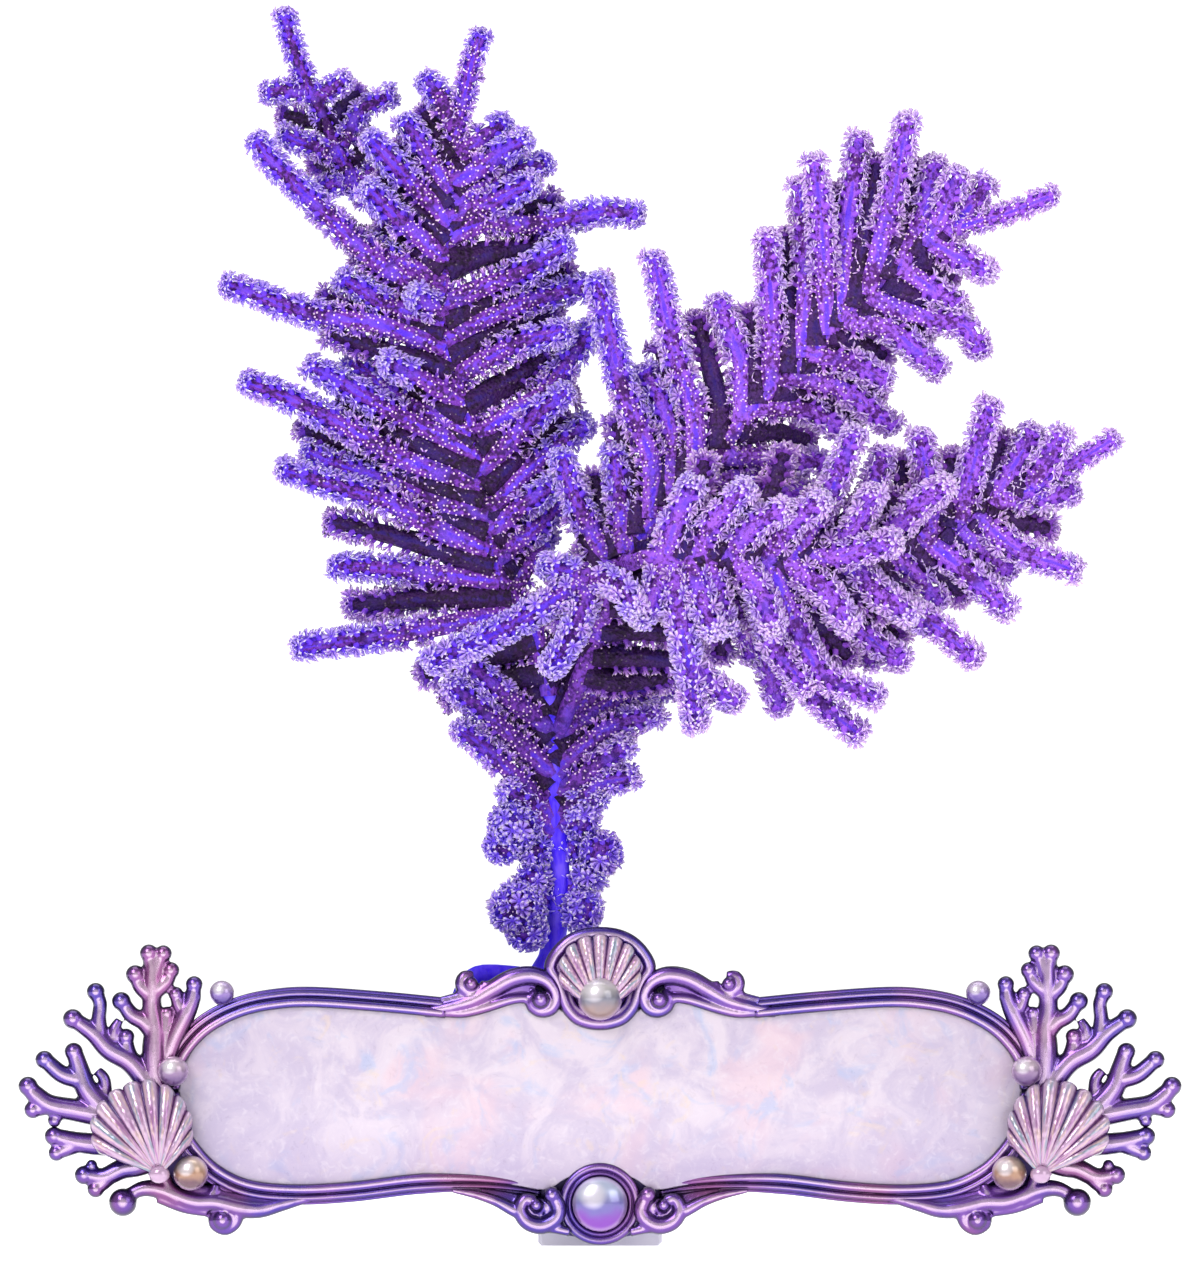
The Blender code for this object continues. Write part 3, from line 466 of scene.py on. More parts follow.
def crowd(found, stem, tones, size, turns=ringAngles, inner=0.45, pitch=2.7, skip=2.5, cap=True, dots=True):
    viewer = np.array([0.0, -1.0, 0.0])

    def walk(step, angles, wanted):
        spots = smoothRoute(stem, step)
        along = unit(np.gradient(spots[:, :3], axis=0))
        for number, (spot, ahead) in enumerate(zip(spots, along)):
            share = number / max(len(spots) - 1, 1)
            opening = min(max((share - inner) / 0.34 + 0.5 + chance.normal(0, 0.12), 0), 1)
            if step * number < skip or not wanted(opening):
                continue
            face = viewer - ahead * ahead.dot(viewer)
            face = unit(face) if np.linalg.norm(face) > 0.25 else unit(np.cross(ahead, (1.0, 0, 0)))
            side = np.cross(ahead, face)
            for turn in angles[number % len(angles)]:
                angle = math.radians(turn + chance.normal(0, 6))
                out = face * math.cos(angle) + side * math.sin(angle)
                yield spot[:3] + ahead * chance.uniform(-0.3, 0.3) * step, spot[3], out, ahead, share, opening

    for spot, radius, out, ahead, share, opening in walk(pitch, turns, lambda much: much >= 0.3):
        tone = tones[0] + (tones[1] - tones[0]) * opening + chance.normal(0, 0.08)
        found.append((spot + out * radius * 0.85, out + ahead * (0.25 + 0.3 * share), max(tone, 0.3),
                      size * (0.92 + 0.16 * share)))
    for spot, radius, out, ahead, share, opening in walk(pitch, innerAngles, lambda much: much < 0.3):
        found.append((spot + out * radius * 0.85, out + ahead * 0.3, 0.3 + tones[0] * 0.5, size * 0.85))
    for spot, radius, out, ahead, share, opening in walk(dotPitch, dotAngles, lambda much: dots and much < 0.85):
        found.append((spot + out * radius * 0.95, out, 0.0, 0.5))
    if cap:
        end = smoothRoute(stem, 1.0)
        ahead = unit(end[-1, :3] - end[-3, :3])
        face = unit(np.cross(ahead, (0.3, 0.2, 1.0)))
        side = np.cross(ahead, face)
        for k in range(6):
            out = face * math.cos(k * math.tau / 6) + side * math.sin(k * math.tau / 6)
            found.append((end[-1, :3] + out * 0.6, ahead + out * 0.85, tones[1], size))
        found.append((end[-1, :3] + ahead * 0.3, ahead, tones[1], size))


def knob(found, shape, centre, halves, tones, size):  # a curled twig's round head
    count = round(4.2 * math.pi * (sum(halves) / 3 - 1.4) ** 2 / 5.2)
    for k in range(count):
        height = 1 - 2 * (k + 0.5) / count
        angle = k * goldenAngle
        out = np.array([math.sqrt(1 - height * height) * math.cos(angle), height,
                        math.sqrt(1 - height * height) * math.sin(angle)])
        inner = out[1] < -0.72 and k % 2
        found.append((np.array(centre) + out * (np.array(halves) - 2.3), out + chance.normal(0, 0.12, 3),
                      0.05 if inner else chance.uniform(*tones), 0.55 if inner else size))
    addBall(shape, centre, np.array(halves) - 1.9, 12)


def polypPieces(name, found, node):
    count = len(found)
    spots = np.array([row[0] for row in found])
    axes = unit(np.array([row[1] for row in found]))
    tones = np.clip([row[2] for row in found], 0, 1)
    sizes = np.array([row[3] for row in found]) * chance.uniform(0.88, 1.14, count)
    draw = tones + chance.normal(0, 0.12, count)
    bud, closing, half = kindLimits
    kinds = np.select([tones < bud, draw < closing, draw < half], [0, 1, 2], 3)
    spins = chance.uniform(0, math.tau, count)
    first = unit(np.cross(axes, np.where(abs(axes[:, :1]) < 0.8, [[1.0, 0, 0]], [[0, 0, 1.0]])))
    second = np.cross(axes, first)
    right = first * np.cos(spins)[:, None] + second * np.sin(spins)[:, None]
    up = np.cross(axes, right)
    frames = np.stack([right, up, axes], 2) * sizes[:, None, None]
    parts = max(1, math.ceil(sum(len(polypForms[k][1]) for k in kinds) / mostTriangles))
    for part in range(parts):
        chosen = np.arange(count) % parts == part
        verts, faces, tips, shades, odds, start = [], [], [], [], [], 0
        for kind, (points, corners, shares) in enumerate(polypForms):
            mine = chosen & (kinds == kind)
            number = int(mine.sum())
            placed = np.einsum("nij,pj->npi", frames[mine], points) + spots[mine][:, None]
            verts.append(placed.reshape(-1, 3))
            steps = start + np.arange(number) * len(points)
            faces.append((corners[None] + steps[:, None, None]).reshape(-1, 3))
            tips.append(np.tile(shares, number))
            shades.append(np.repeat(tones[mine], len(points)))
            odds.append(np.repeat(chance.uniform(0, 1, number), len(points)))
            start += number * len(points)
        places = (np.vstack(verts) + (0, shift, 0)) * mm
        mesh = bpy.data.meshes.new(f"{name}_polyps_{part + 1}")
        mesh.from_pydata(places.tolist(), [], np.vstack(faces).tolist())
        for label, values in (("tip", tips), ("tone", shades), ("odd", odds)):
            mesh.attributes.new(label, "FLOAT", "POINT").data.foreach_set("value", np.concatenate(values))
        mesh.shade_smooth()
        keep(linked(mesh.name, mesh), polypSkin, "coral_tissue", node)
    print(name, count, "polyps in", parts, "parts")


# Colony

def nearestDepth(rachis, x, z):
    dense = smoothRoute(rachis, 1.0)
    return dense[np.argmin(np.hypot(dense[:, 0] - x, dense[:, 2] - z)), 1]


def leaning(rachis, branchlet):
    lean, *flat = branchlet
    root = nearestDepth(rachis, *flat[0])
    far = [math.dist(flat[0], point) for point in flat]
    return [(x, root + lean * d / far[-1], z) for (x, z), d in zip(flat, far)]


nearRoots, farRoots = 4, 22  # mm along the stem between two roots that take a branchlet between them


def between(rachis, branchlets):  # shorter branchlets behind, between each pair that a stem carries
    made = []
    line = smoothRoute(rachis, 1.0)
    for hand in (-1, 1):
        mine = []
        for branchlet in branchlets:
            lean, *flat = branchlet
            k = np.argmin(np.hypot(line[:, 0] - flat[0][0], line[:, 2] - flat[0][1]))
            ahead = line[min(k + 3, len(line) - 1)] - line[max(k - 3, 0)]
            turn = ahead[0] * (flat[-1][1] - flat[0][1]) - ahead[2] * (flat[-1][0] - flat[0][0])
            if turn * hand > 0:
                mine.append((k, lean, smoothRoute([(x, z, 0) for x, z in flat], 1.0)[:, :2]))
        mine.sort(key=lambda row: row[0])
        for (k, lean, a), (n, other, b) in zip(mine, mine[1:]):
            if nearRoots <= n - k <= farRoots:
                share = chance.uniform(0.66, 0.9)
                spots = np.linspace(0, share, 4)
                route = [(a[int(t * (len(a) - 1))] + b[int(t * (len(b) - 1))]) / 2 for t in spots]
                made.append(((lean + other) / 2 + chance.uniform(4, 7), *[tuple(spot) for spot in route]))
    return made


def tapered(route, start, end, step=1.5):  # a smooth route with a radius that falls toward its tip
    spots = smoothRoute(route, step)
    share = np.linspace(0, 1, len(spots))
    wander = np.sin(share * 9 + spots[0, 0]) * 0.3 * np.sin(share * math.pi)
    return np.column_stack([spots[:, 0], spots[:, 1] + wander, spots[:, 2] + wander,
                            start + (end - start) * share ** 1.3])


def plume(form):
    rachis, twig, tones = form["rachis"], form["twig"], form["tones"]
    stems, shaded, found = [tapered(rachis, *form["stem"], 1.2)], [], []
    crowd(found, stems[0], form["stemTones"], 1.1, flanks, form["stemInner"], 2.7, form["bare"])
    for branchlet in form["branchlets"]:
        stems.append(tapered(leaning(rachis, branchlet), *twig))
        crowd(found, stems[-1], tones, form["size"], inner=form["inner"])
    # branchlets behind the front ones and the listed dark ones: drawn with the shaded tissue and darker polyps,
    # painted shade filling the gaps
    for branchlet in between(rachis, form["branchlets"]) + form.get("dark", []):
        shaded.append(tapered(leaning(rachis, branchlet), twig[0] + 0.5, twig[1] + 0.3))
        crowd(found, shaded[-1], (0.0, tones[1] * 0.5), form["size"], inner=0.72, dots=False)
    for route in form.get("more", ()):
        stems.append(tapered(route, *twig))
        crowd(found, stems[-1], tones, form["size"], allRound, 0.1)
    for route in form.get("stubs", ()):
        stems.append(tapered(route, 2.1, 2.1))
    keep(tubes(form["name"] + "_stems", stems), twigSkin, "coral_tissue", form["name"])
    if shaded:
        keep(tubes(form["name"] + "_shaded_stems", shaded), shadedSkin, "coral_tissue", form["name"])
    polypPieces(form["name"], found, form["name"])


allRound = ((40, -40, 88, -88, 136, -136), (62, -62, 112, -112, 170))
flanks = ((66, -66, 108, -108, 150, -150), (86, -86, 130, -130, 180))
trunkRoute = [(-13.5, 30, 55), (-12.8, 30, 70), (-10.5, 29, 82), (-10.4, 28.5, 96), (-11.4, 28, 112),
              (-11.4, 28, 126), (-12.4, 27.5, 136.6), (-13.6, 27, 143)]
leftPlume = {
    "name": "left_plume", "stem": (2.6, 1.2), "twig": (2.9, 1.3), "size": 1.26, "inner": 0.5,
    "tones": (0.15, 0.95), "stemTones": (0.1, 0.9), "stemInner": 0.85, "bare": 2.0,
    "rachis": [(-12.7, 27.3, 137.6), (-13.4, 27, 142), (-17.4, 26, 155.6), (-22, 25.4, 162.4), (-24.7, 25, 166),
               (-27.2, 24.4, 174), (-28.2, 24, 181.6), (-30, 24, 188.7), (-30.2, 24, 195), (-33.3, 24, 208),
               (-36.9, 24, 220), (-39.6, 24, 230), (-39.2, 24.4, 242), (-37.8, 25, 256), (-37, 25.3, 268),
               (-36, 25.5, 280), (-33.6, 25.8, 290), (-32, 26, 297.5), (-30, 26, 303)],
    "branchlets": [
        (3, (-39, 238), (-57, 247), (-69, 259), (-81.5, 270.7), (-86, 276.5)),
        (-4, (-39, 225), (-54, 230), (-74, 234), (-93, 240.5)),
        (2, (-39, 231), (-52, 235), (-64, 242)), (-3, (-30, 190), (-49, 197), (-60, 203), (-77, 211.5), (-88, 216)),
        (4, (-32, 203), (-42, 208), (-54, 214.5), (-62, 221.5)), (-2, (-31, 198), (-57, 211.5), (-72, 220)),
        (-7, (-35, 212), (-53, 221)), (-3, (-28, 174), (-42, 180), (-56, 187), (-79, 194)),
        (3, (-28, 183), (-44, 187.5), (-58, 193), (-73, 198.5)), (4, (-25, 166), (-48, 169), (-66, 170)),
        (-4, (-19, 159), (-40, 155), (-55, 152.5), (-75, 149.5)), (-2, (-37.5, 256), (-46, 265), (-57.5, 277)),
        (2, (-37, 264), (-48.8, 281.5)), (-5, (-38.5, 247), (-47.7, 254.6), (-58, 264.5)),
        (4, (-39, 241), (-58, 251)),
        (3, (-36, 280), (-40, 287.6), (-43.5, 292)), (2, (-36, 273), (-24.5, 281)), (-2, (-37, 266), (-19.5, 277)),
        (3, (-37, 261), (-25, 267), (-14, 271.5)), (-3, (-38, 257), (-17.5, 266)),
        (2, (-38, 253), (-27, 257), (-18.5, 256), (0, 259), (9, 258.5)), (-3, (-39, 236), (-20, 244), (-9, 250.5)),
        (3, (-39, 227), (-31, 231), (-15.4, 237.7), (1, 241)), (-4, (-36, 218), (-23, 225), (-9, 229)),
        (2, (-31, 203), (-23, 207.7), (-12, 216), (-2, 230)), (-4, (-30, 194), (-17.3, 206.6), (-8.5, 213.5)),
        (2, (-28, 184), (-18, 194), (-4, 205.5)), (-3, (-28, 179), (-12.5, 190)), (3, (-26, 172), (-9.5, 185.5)),
        (6, (-23, 163), (-13.5, 178)), (-5, (-39, 233), (-46, 238)),
    ],
    "dark": [(6, (-14, 141), (-4, 147), (4, 152)), (6, (-15, 147), (-5, 156), (3, 163)),
             (5, (-16, 151), (-30, 147), (-44, 143)),
             (6, (-18, 156), (-8, 166), (-3, 174)), (6, (-14, 143), (-26, 141), (-38, 137)),
             (7, (-22, 162), (-40, 163), (-58, 160)),
             (7, (-38, 247), (-24, 250), (-12, 253)), (7, (-39, 231), (-22, 237), (-10, 243)),
             (7, (-38, 222), (-20, 228), (-12, 235)),
             (7, (-34, 210), (-20, 216), (-10, 221)), (7, (-31, 200), (-18, 208), (-8, 213)),
             (7, (-30, 190), (-16, 198), (-8, 204)),
             (7, (-39, 232), (-50, 240), (-60, 248)), (7, (-38, 252), (-46, 258), (-52, 266))],
    "stubs": [[(-39.3, 24, 236), (-42.6, 30, 240.5), (-44.4, 33, 243), (-44.9, 34, 243.8)]],
}
backSprig = {
    "name": "back_sprig", "stem": (2.1, 1.0), "twig": (1.9, 1.1), "size": 1.15, "inner": 0.2,
    "tones": (0.3, 0.85), "stemTones": (0.2, 0.85), "stemInner": 0.3, "bare": 1.0,
    "rachis": [(-44.9, 34, 243.8), (-50, 39, 249.5), (-58.5, 39, 262), (-64.6, 38.5, 272), (-71.5, 38, 287.6),
               (-76, 38, 297), (-79.5, 38, 308.5)],
    "branchlets": [(1, (-73.5, 290), (-83.5, 289.5)), (-2, (-71, 288), (-64.5, 292.5)),
                   (1, (-65, 276), (-60, 285), (-53.5, 288.5)), (-1, (-65, 273), (-69, 274.6), (-79, 278.5)),
                   (2, (-61, 268), (-70, 265.5)), (2, (-60, 267), (-54, 272))],
}
upperPlume = {
    "name": "upper_plume", "stem": (2.5, 1.1), "twig": (2.8, 1.3), "size": 1.28, "inner": 0.4,
    "tones": (0.25, 1.0), "stemTones": (0.2, 0.95), "stemInner": 0.8, "bare": 12.0,
    "rachis": [(-5.8, 22, 139.5), (0, 17, 154), (5, 11, 170), (15, 9, 183), (22, 9, 191), (29, 9, 198),
               (38.3, 9, 209.4), (51.7, 9, 222), (62, 9.3, 233.3), (73.5, 10, 243.6), (80, 10.6, 249.2),
               (90.8, 11, 255), (101.7, 11, 258.3), (112.9, 11, 262.8)],
    "branchlets": [
        (4, (3, 170), (-5, 184), (-9.5, 197)), (3, (6, 173), (5, 188), (3.5, 198)),
        (2, (13, 182), (13, 195), (9.4, 206), (5, 217), (-0.5, 241)), (6, (18, 187), (18, 204), (11.5, 218.5)),
        (0, (24, 192), (23.5, 208), (19.2, 222), (13.5, 246.5)), (5, (36, 206), (35, 222), (29.8, 236)),
        (-2, (43, 214), (43, 230), (42, 252)), (3, (51, 222), (51.5, 248), (50, 265)),
        (-3, (57, 228), (55.5, 255), (53.6, 270.5)), (4, (60, 231), (61.6, 253), (64.8, 276.5)),
        (-2, (67, 238), (72.8, 261), (76.7, 281)), (3, (75, 245), (81, 258), (83.7, 270.5)),
        (-2, (82, 250), (89.5, 267.5)), (3, (87, 252.5), (96.5, 265.5)), (-2, (83, 251), (96.5, 244)),
        (3, (75, 245), (89, 236)), (5, (67, 238), (80, 232.5), (90.8, 230.7), (95, 224.5)),
        (5, (61, 232), (73.5, 228.8), (84.4, 219.5)), (3, (52, 223), (60, 221.8), (71, 217)),
        (6, (47, 218), (60, 214.5), (73, 205.5)), (6, (39, 210), (51, 209.4), (61, 204)), (11, (30, 198), (55, 196)),
        (9, (21, 190), (33.3, 192.5), (52, 188.5)), (7, (14, 183), (45, 181)),
    ],
    "dark": [(5, (-4, 143), (8, 141), (19, 143)), (5, (-2, 148), (12, 147), (25, 147)),
             (5, (0, 154), (14, 154), (30, 152)),
             (4, (2, 160), (16, 161), (34, 158)), (4, (4, 166), (18, 168), (36, 166)), (5, (-2, 149), (-10, 158)),
             (5, (1, 158), (-8, 169)), (6, (8, 175), (24, 176), (40, 174)), (6, (3, 168), (-4, 178), (-6, 190))],
    "stubs": [[(-11.2, 28, 126), (-8.2, 24.5, 134), (-5.8, 22, 139.5)],
              [(5, 11, 170), (8, 5, 171), (10.4, 0.2, 171.7)],
              [(5, 11, 170), (1.6, 5, 168.8), (-0.6, 1.2, 167.7)]],
}
lowerPlume = {
    "name": "lower_plume", "stem": (2.3, 1.1), "twig": (2.7, 1.3), "size": 1.3, "inner": 0.22,
    "tones": (0.35, 1.0), "stemTones": (0.3, 0.95), "stemInner": 0.6, "bare": 3.0,
    "rachis": [(10.4, 0.2, 171.7), (16, -5, 172), (50, -6, 172), (66, -3, 173), (78.6, -0.5, 177.3), (87, 1, 179.3),
               (103, 3, 187.4), (112, 3.4, 191.6), (128, 4, 201.5)],
    "branchlets": [
        (0, (48, 171), (53, 180), (57, 187), (63.5, 202.5)), (3, (64, 173), (70.5, 197.5)),
        (0, (83, 178), (82, 190), (80, 202)), (-4, (90, 181), (92, 190), (97.2, 209.5)), (3, (98, 185), (108, 203)),
        (-2, (108, 190), (115.5, 202.5)), (4, (99, 186), (118, 188.5)), (-3, (94, 183), (103, 175), (118, 169)),
        (5, (90, 180), (102, 169)), (-1, (80, 178), (92, 168), (101.5, 159.5)), (4, (72, 175), (84.5, 161.5)),
        (-3, (58, 172), (72, 162), (85, 154), (93, 147)), (3, (46, 171), (62, 156), (75, 146.5)),
        (-4, (42, 172), (52, 148), (58, 141.6), (68.5, 137.5)), (2, (40, 171), (50, 143), (57, 134.3), (64, 128.5)),
        (-3, (36, 172), (43, 152), (51, 140)), (10, (34, 171), (45, 135)), (9, (46, 170), (68, 147)),
        (-6, (27, 172), (31, 155)), (-9, (24, 172), (29, 182), (36, 189)), (-10, (34, 172), (40, 163), (43, 155)),
        (-9, (42, 172), (48, 181), (55, 186)), (-9, (52, 172), (62, 173), (73, 176)),
        (-8, (62, 172), (69, 164), (77, 158)),
        (-8, (70, 175), (77, 183), (86, 190)), (-8, (16, 172), (14, 164), (10, 157)),
        (-10, (22, 172), (25, 163), (28, 154)),
        (-7, (16, 172), (19, 181), (23, 190)), (-8, (32, 172), (38, 180), (46, 184)),
        (-8, (46, 171), (55, 165), (62, 156)),
        (-7, (56, 172), (64, 180), (68, 188)), (6, (20, 172), (22, 160), (22, 150)),
        (6, (28, 172), (34, 160), (38, 148)),
    ],
    "dark": [(8, (22, 172), (24, 182), (26, 196)), (8, (36, 172), (42, 186), (46, 198)),
             (8, (30, 171), (32, 158), (30, 148)),
             (8, (56, 172), (66, 160), (74, 152)), (8, (66, 174), (74, 186), (76, 196)),
             (8, (44, 171), (52, 158), (58, 148))],
    "more": [[(18, -5, 172), (19.5, -10, 160), (22, -13, 146), (24, -14, 131)],
             [(22.6, -13.5, 144), (28, -12, 140), (33.5, -11, 136.5)]],
}
frontSpray = [
    [(-0.6, 1.2, 167.7), (-2, -1.3, 167), (-12, -4, 161), (-25, -5, 154), (-42, -5, 146)],
    [(-2, -1.6, 167), (-5, -6, 157), (-8, -7.5, 151), (-12, -8, 145)],
    [(-2, -1.6, 167), (5, -11, 165), (8.5, -15, 159.5)],
    [(-2, -1.6, 167), (-13, -1, 170)],
]
cone = [
    (-7, (-12, 107), (-23, 119), (-35, 129)), (-9, (-12, 118), (-25, 130), (-37, 140)),
    (-9, (-12.5, 129), (-24, 138), (-33, 145.5)), (-6, (-10, 108), (0, 115), (7.5, 117)),
    (-7, (-10, 113), (6, 125)), (-6, (-10, 120), (2, 129), (14, 133)),
    (3, (-11, 127), (5, 137), (18, 139.5)), (9, (-11, 130), (4, 142), (20, 149)),
    (6, (-12, 112), (-22, 126), (-30, 138)), (6, (-12, 124), (-21, 134), (-29, 146)),
    (6, (-11, 117), (-1, 128), (9, 138)),
    (-3, (-11, 104), (-4, 109), (-1, 112)), (-5, (-12, 103), (-18, 109), (-23, 114)),
]
# twigs behind the cone, drawn with the shaded tissue: painted shade
coneShaded = [(5, (-13, 132), (-17, 140), (-19, 150)), (5, (-12, 132), (-9, 142), (-7, 152)),
            (7, (-12, 126), (-22, 137), (-26, 150)),
            (7, (-11, 124), (0, 132), (12, 136)), (7, (-12, 114), (-20, 124), (-27, 131)),
            (7, (-11, 110), (-2, 118), (5, 128)),
            (6, (-12, 120), (-3, 133), (2, 144))]
roots = [
    [(-14, 30, 57.5, 11.0), (-14, 30, 60, 9.0), (-13, 30, 67, 5.6), (-12.6, 30, 72, 3.0)],
    [(-14, 29, 62, 7.0), (-24, 25, 66.8, 3.2), (-31.5, 22, 66.9, 2.6), (-35.5, 20, 62, 2.0)],
    [(-14, 30, 59, 7.0), (-24, 17, 59, 2.4), (-29, 11, 58, 1.0)],
    [(-14, 30, 59, 7.0), (-1, 24, 59.2, 2.4), (7, 18, 58, 1.0)],
    [(-14, 30, 59, 7.0), (-6, 42, 59, 2.4), (1, 50, 58, 1.0)],
    [(-14, 30, 59, 7.0), (-24, 41, 59, 2.4), (-31, 47, 58, 1.0)],
]
knobs = [  # round heads of curled twigs on the lower trunk: centre, half sizes
    ((-21.4, 25, 104.8), (6.6, 6.0, 6.6)), ((-24.6, 24.5, 99.6), (4.6, 4.6, 4.6)),
    ((-16.4, 26.5, 98.5), (4.6, 4.2, 4.2)),
    ((-20.6, 24.5, 84), (7.0, 6.2, 6.6)), ((-18.4, 24, 78), (5.2, 4.6, 4.4)), ((-16.6, 26.5, 91.6), (4.4, 4.0, 4.0)),
    ((-4.6, 26, 106), (4.8, 4.4, 4.6)), ((0.2, 25.5, 98), (5.2, 4.8, 5.8)), ((-2.6, 27, 92.5), (4.4, 4.0, 4.4)),
    ((-4.4, 25.5, 83.6), (5.0, 4.6, 5.2)), ((-7, 28, 99), (3.6, 3.6, 4.0)), ((-14.6, 27, 86), (3.6, 3.4, 4.4)),
    ((-7.2, 28, 89), (3.4, 3.2, 3.6)),
]
smallTwig = [(-10, 27, 108), (-4, 25.5, 112.5), (2, 25, 115.5), (5.6, 25, 117.6)]

for form in (leftPlume, backSprig, upperPlume, lowerPlume):
    plume(form)

found, stems = [], []
for route in frontSpray:
    stems.append(tapered(route, 2.6, 1.3))
    crowd(found, stems[-1], (0.5, 0.95), 1.28, allRound, 0.2, 2.4)
keep(tubes("front_spray_stems", stems), twigSkin, "coral_tissue", "front_spray")
polypPieces("front_spray", found, "front_spray")

found, stems = [], []
for branchlet in cone:
    stems.append(tapered(leaning(trunkRoute, branchlet), 2.9, 1.3))
    crowd(found, stems[-1], (0.1, 0.8), 1.2, skip=3.5, inner=0.55)
stems.append(tapered(smallTwig, 1.8, 1.1))
crowd(found, stems[-1], (0.3, 0.8), 1.1, allRound, 0.2, 2.4)
crowd(found, tapered(trunkRoute[3:], 2.6, 2.2), (0.2, 0.35), 0.95, ((105, -105, 150, -150), (85, -85, 128, 180)),
      0.0, 2.6, 2, False)
# twigs behind the cone with darker polyps and the shaded tissue: painted shade
shaded = [tapered(leaning(trunkRoute, branchlet), 3.6, 2.4) for branchlet in coneShaded]
for stem in shaded:
    crowd(found, stem, (0.0, 0.4), 1.2, inner=0.8, dots=False)
keep(tubes("trunk_shaded_twigs", shaded), shadedSkin, "coral_tissue", "trunk")
shape = baked(tubes("trunk_twigs", stems))
for centre, halves in knobs:
    knob(found, shape, centre, halves, (0.55, 0.95), 1.4)
keep(meshPiece("trunk_twigs", shape), twigSkin, "coral_tissue", "trunk")
shape = baked(tubes("trunk_bark", [tapered(trunkRoute, 3.1, 2.2)] + [smoothRoute(route, 1.5) for route in roots], 12))
bark = fused("trunk_bark", shape, 0.5, 2)
keep(bark, barkSkin, "coral_tissue", "trunk")
polypPieces("trunk", found, "trunk")
print("colony grown")


# Name plate

plateOutline = bothSides([(0, 76), (8, 74), (13, 66.4), (20, 66.6), (28, 62), (38, 59.8), (54, 61.4), (72, 62.8),
                          (84, 61.6), (94, 58.3), (102, 52.6), (107.5, 44), (119.5, 35.5), (120, 27), (109.5, 15.2),
                          (92, 11.4), (76, 11.6), (45, 14), (30, 13.6), (20.5, 9), (14, 4.4), (6, 2.2), (0, 1.2)])
panelOutline = bothSides([(0, 56), (6, 56.6), (12, 60), (24, 61.4), (38, 59), (54, 59.4), (72, 60.4),
                          (82, 59.8), (89, 58),
                          (95.5, 55), (100.6, 50.8), (105, 42), (104.6, 32), (101, 25.4), (95.6, 20), (87.4, 16.2),
                          (76, 15), (46, 17.2), (33, 16.6), (22, 15.4), (13.5, 14.2), (8, 17.2), (0, 19)])


def flatten(route, step=1.6):
    return [tuple(row) for row in smoothRoute([(x, z, 0) for x, z in route], step, True)[:, :2]]


keep(meshPiece("plate_back", slab("plate_back", flatten(plateOutline), 0.3, 3.3, 0.7)), plateSkin,
     "dark_resin", "back_plate")
keep(meshPiece("panel_nacre", slab("panel_nacre", flatten(panelOutline), -3.2, 0, 0.3)), nacreSkin,
     "mother_of_pearl", "pearl_panel")

rails = {
    "rail_top": [(-38.5, 59.5), (-54, 61), (-72, 62.2), (-82, 61.6), (-90, 59.8), (-97, 56.5), (-102, 52.4),
                 (-106, 46.6), (-107.4, 39.6)],
    "rail_bottom": [(-107.4, 38.2), (-106.2, 31), (-102.4, 24.2), (-96.5, 18.2), (-88, 14.2), (-76, 13),
                    (-62, 13.7), (-46, 15.6), (-33, 15.9), (-23, 15.3), (-14.6, 13.9)],
    "beads": ((-1.25, 1.3, 3.4), (0.95, 0.85, 3.3), (2.15, 0.5, 2.9)),  # across, radius, height of centre
    "widths": {"rail_top": (1, 1), "rail_bottom": (1, 0.6)},
}


def railProfile(beads):
    rows = []
    for across in np.linspace(-2.55, 2.65, 53):
        up = 2.7
        for centre, radius, height in beads:
            gap = radius ** 2 - (across - centre) ** 2
            up = max(up, height + math.sqrt(gap)) if gap > 0 else up
        rows.append((across, up))
    return [(-2.55, 0)] + rows + [(2.65, 0)]


def railPiece(node, word, side):
    profile = bpy.data.curves.new(f"{node}_{word}_profile", "CURVE")
    line = profile.splines.new("POLY")
    half = railProfile(rails["beads"])
    line.points.add(len(half) - 1)
    for point, (across, up) in zip(line.points, half):
        point.co = (side * across * mm, up * mm, 0, 1)
    line.use_cyclic_u = True
    guide = bpy.data.objects.new(f"{node}_{word}_profile", profile)
    data = bpy.data.curves.new(f"{node}_{word}", "CURVE")
    data.dimensions = "2D"
    data.bevel_mode = "OBJECT"
    data.bevel_object = guide
    data.use_fill_caps = True
    start, end = rails["widths"][node]
    spots = smoothRoute([(x * side, z, 0) for x, z in rails[node]], 1.2)
    line = data.splines.new("POLY")
    line.points.add(len(spots) - 1)
    for k, (point, spot) in enumerate(zip(line.points, spots)):
        share = k / (len(spots) - 1)
        point.co = (spot[0] * mm, spot[1] * mm, 0, 1)
        point.radius = start + (end - start) * max(0, share - 0.72) / 0.28
    swept = bpy.data.objects.new(f"{node}_{word}", data)
    home.objects.link(guide)
    home.objects.link(swept)
    shape = baked(swept)
    bpy.data.objects.remove(guide)
    bmesh.ops.remove_doubles(shape, verts=shape.verts, dist=0.005 * mm)
    bmesh.ops.transform(shape, verts=shape.verts, matrix=Matrix.Translation((0, shift * mm, 0))
                        @ Matrix.Rotation(math.pi / 2, 4, "X"))
    keep(meshPiece(f"{node}_{word}_mould", shape), castSkin, "resin", f"{node}_{word}")


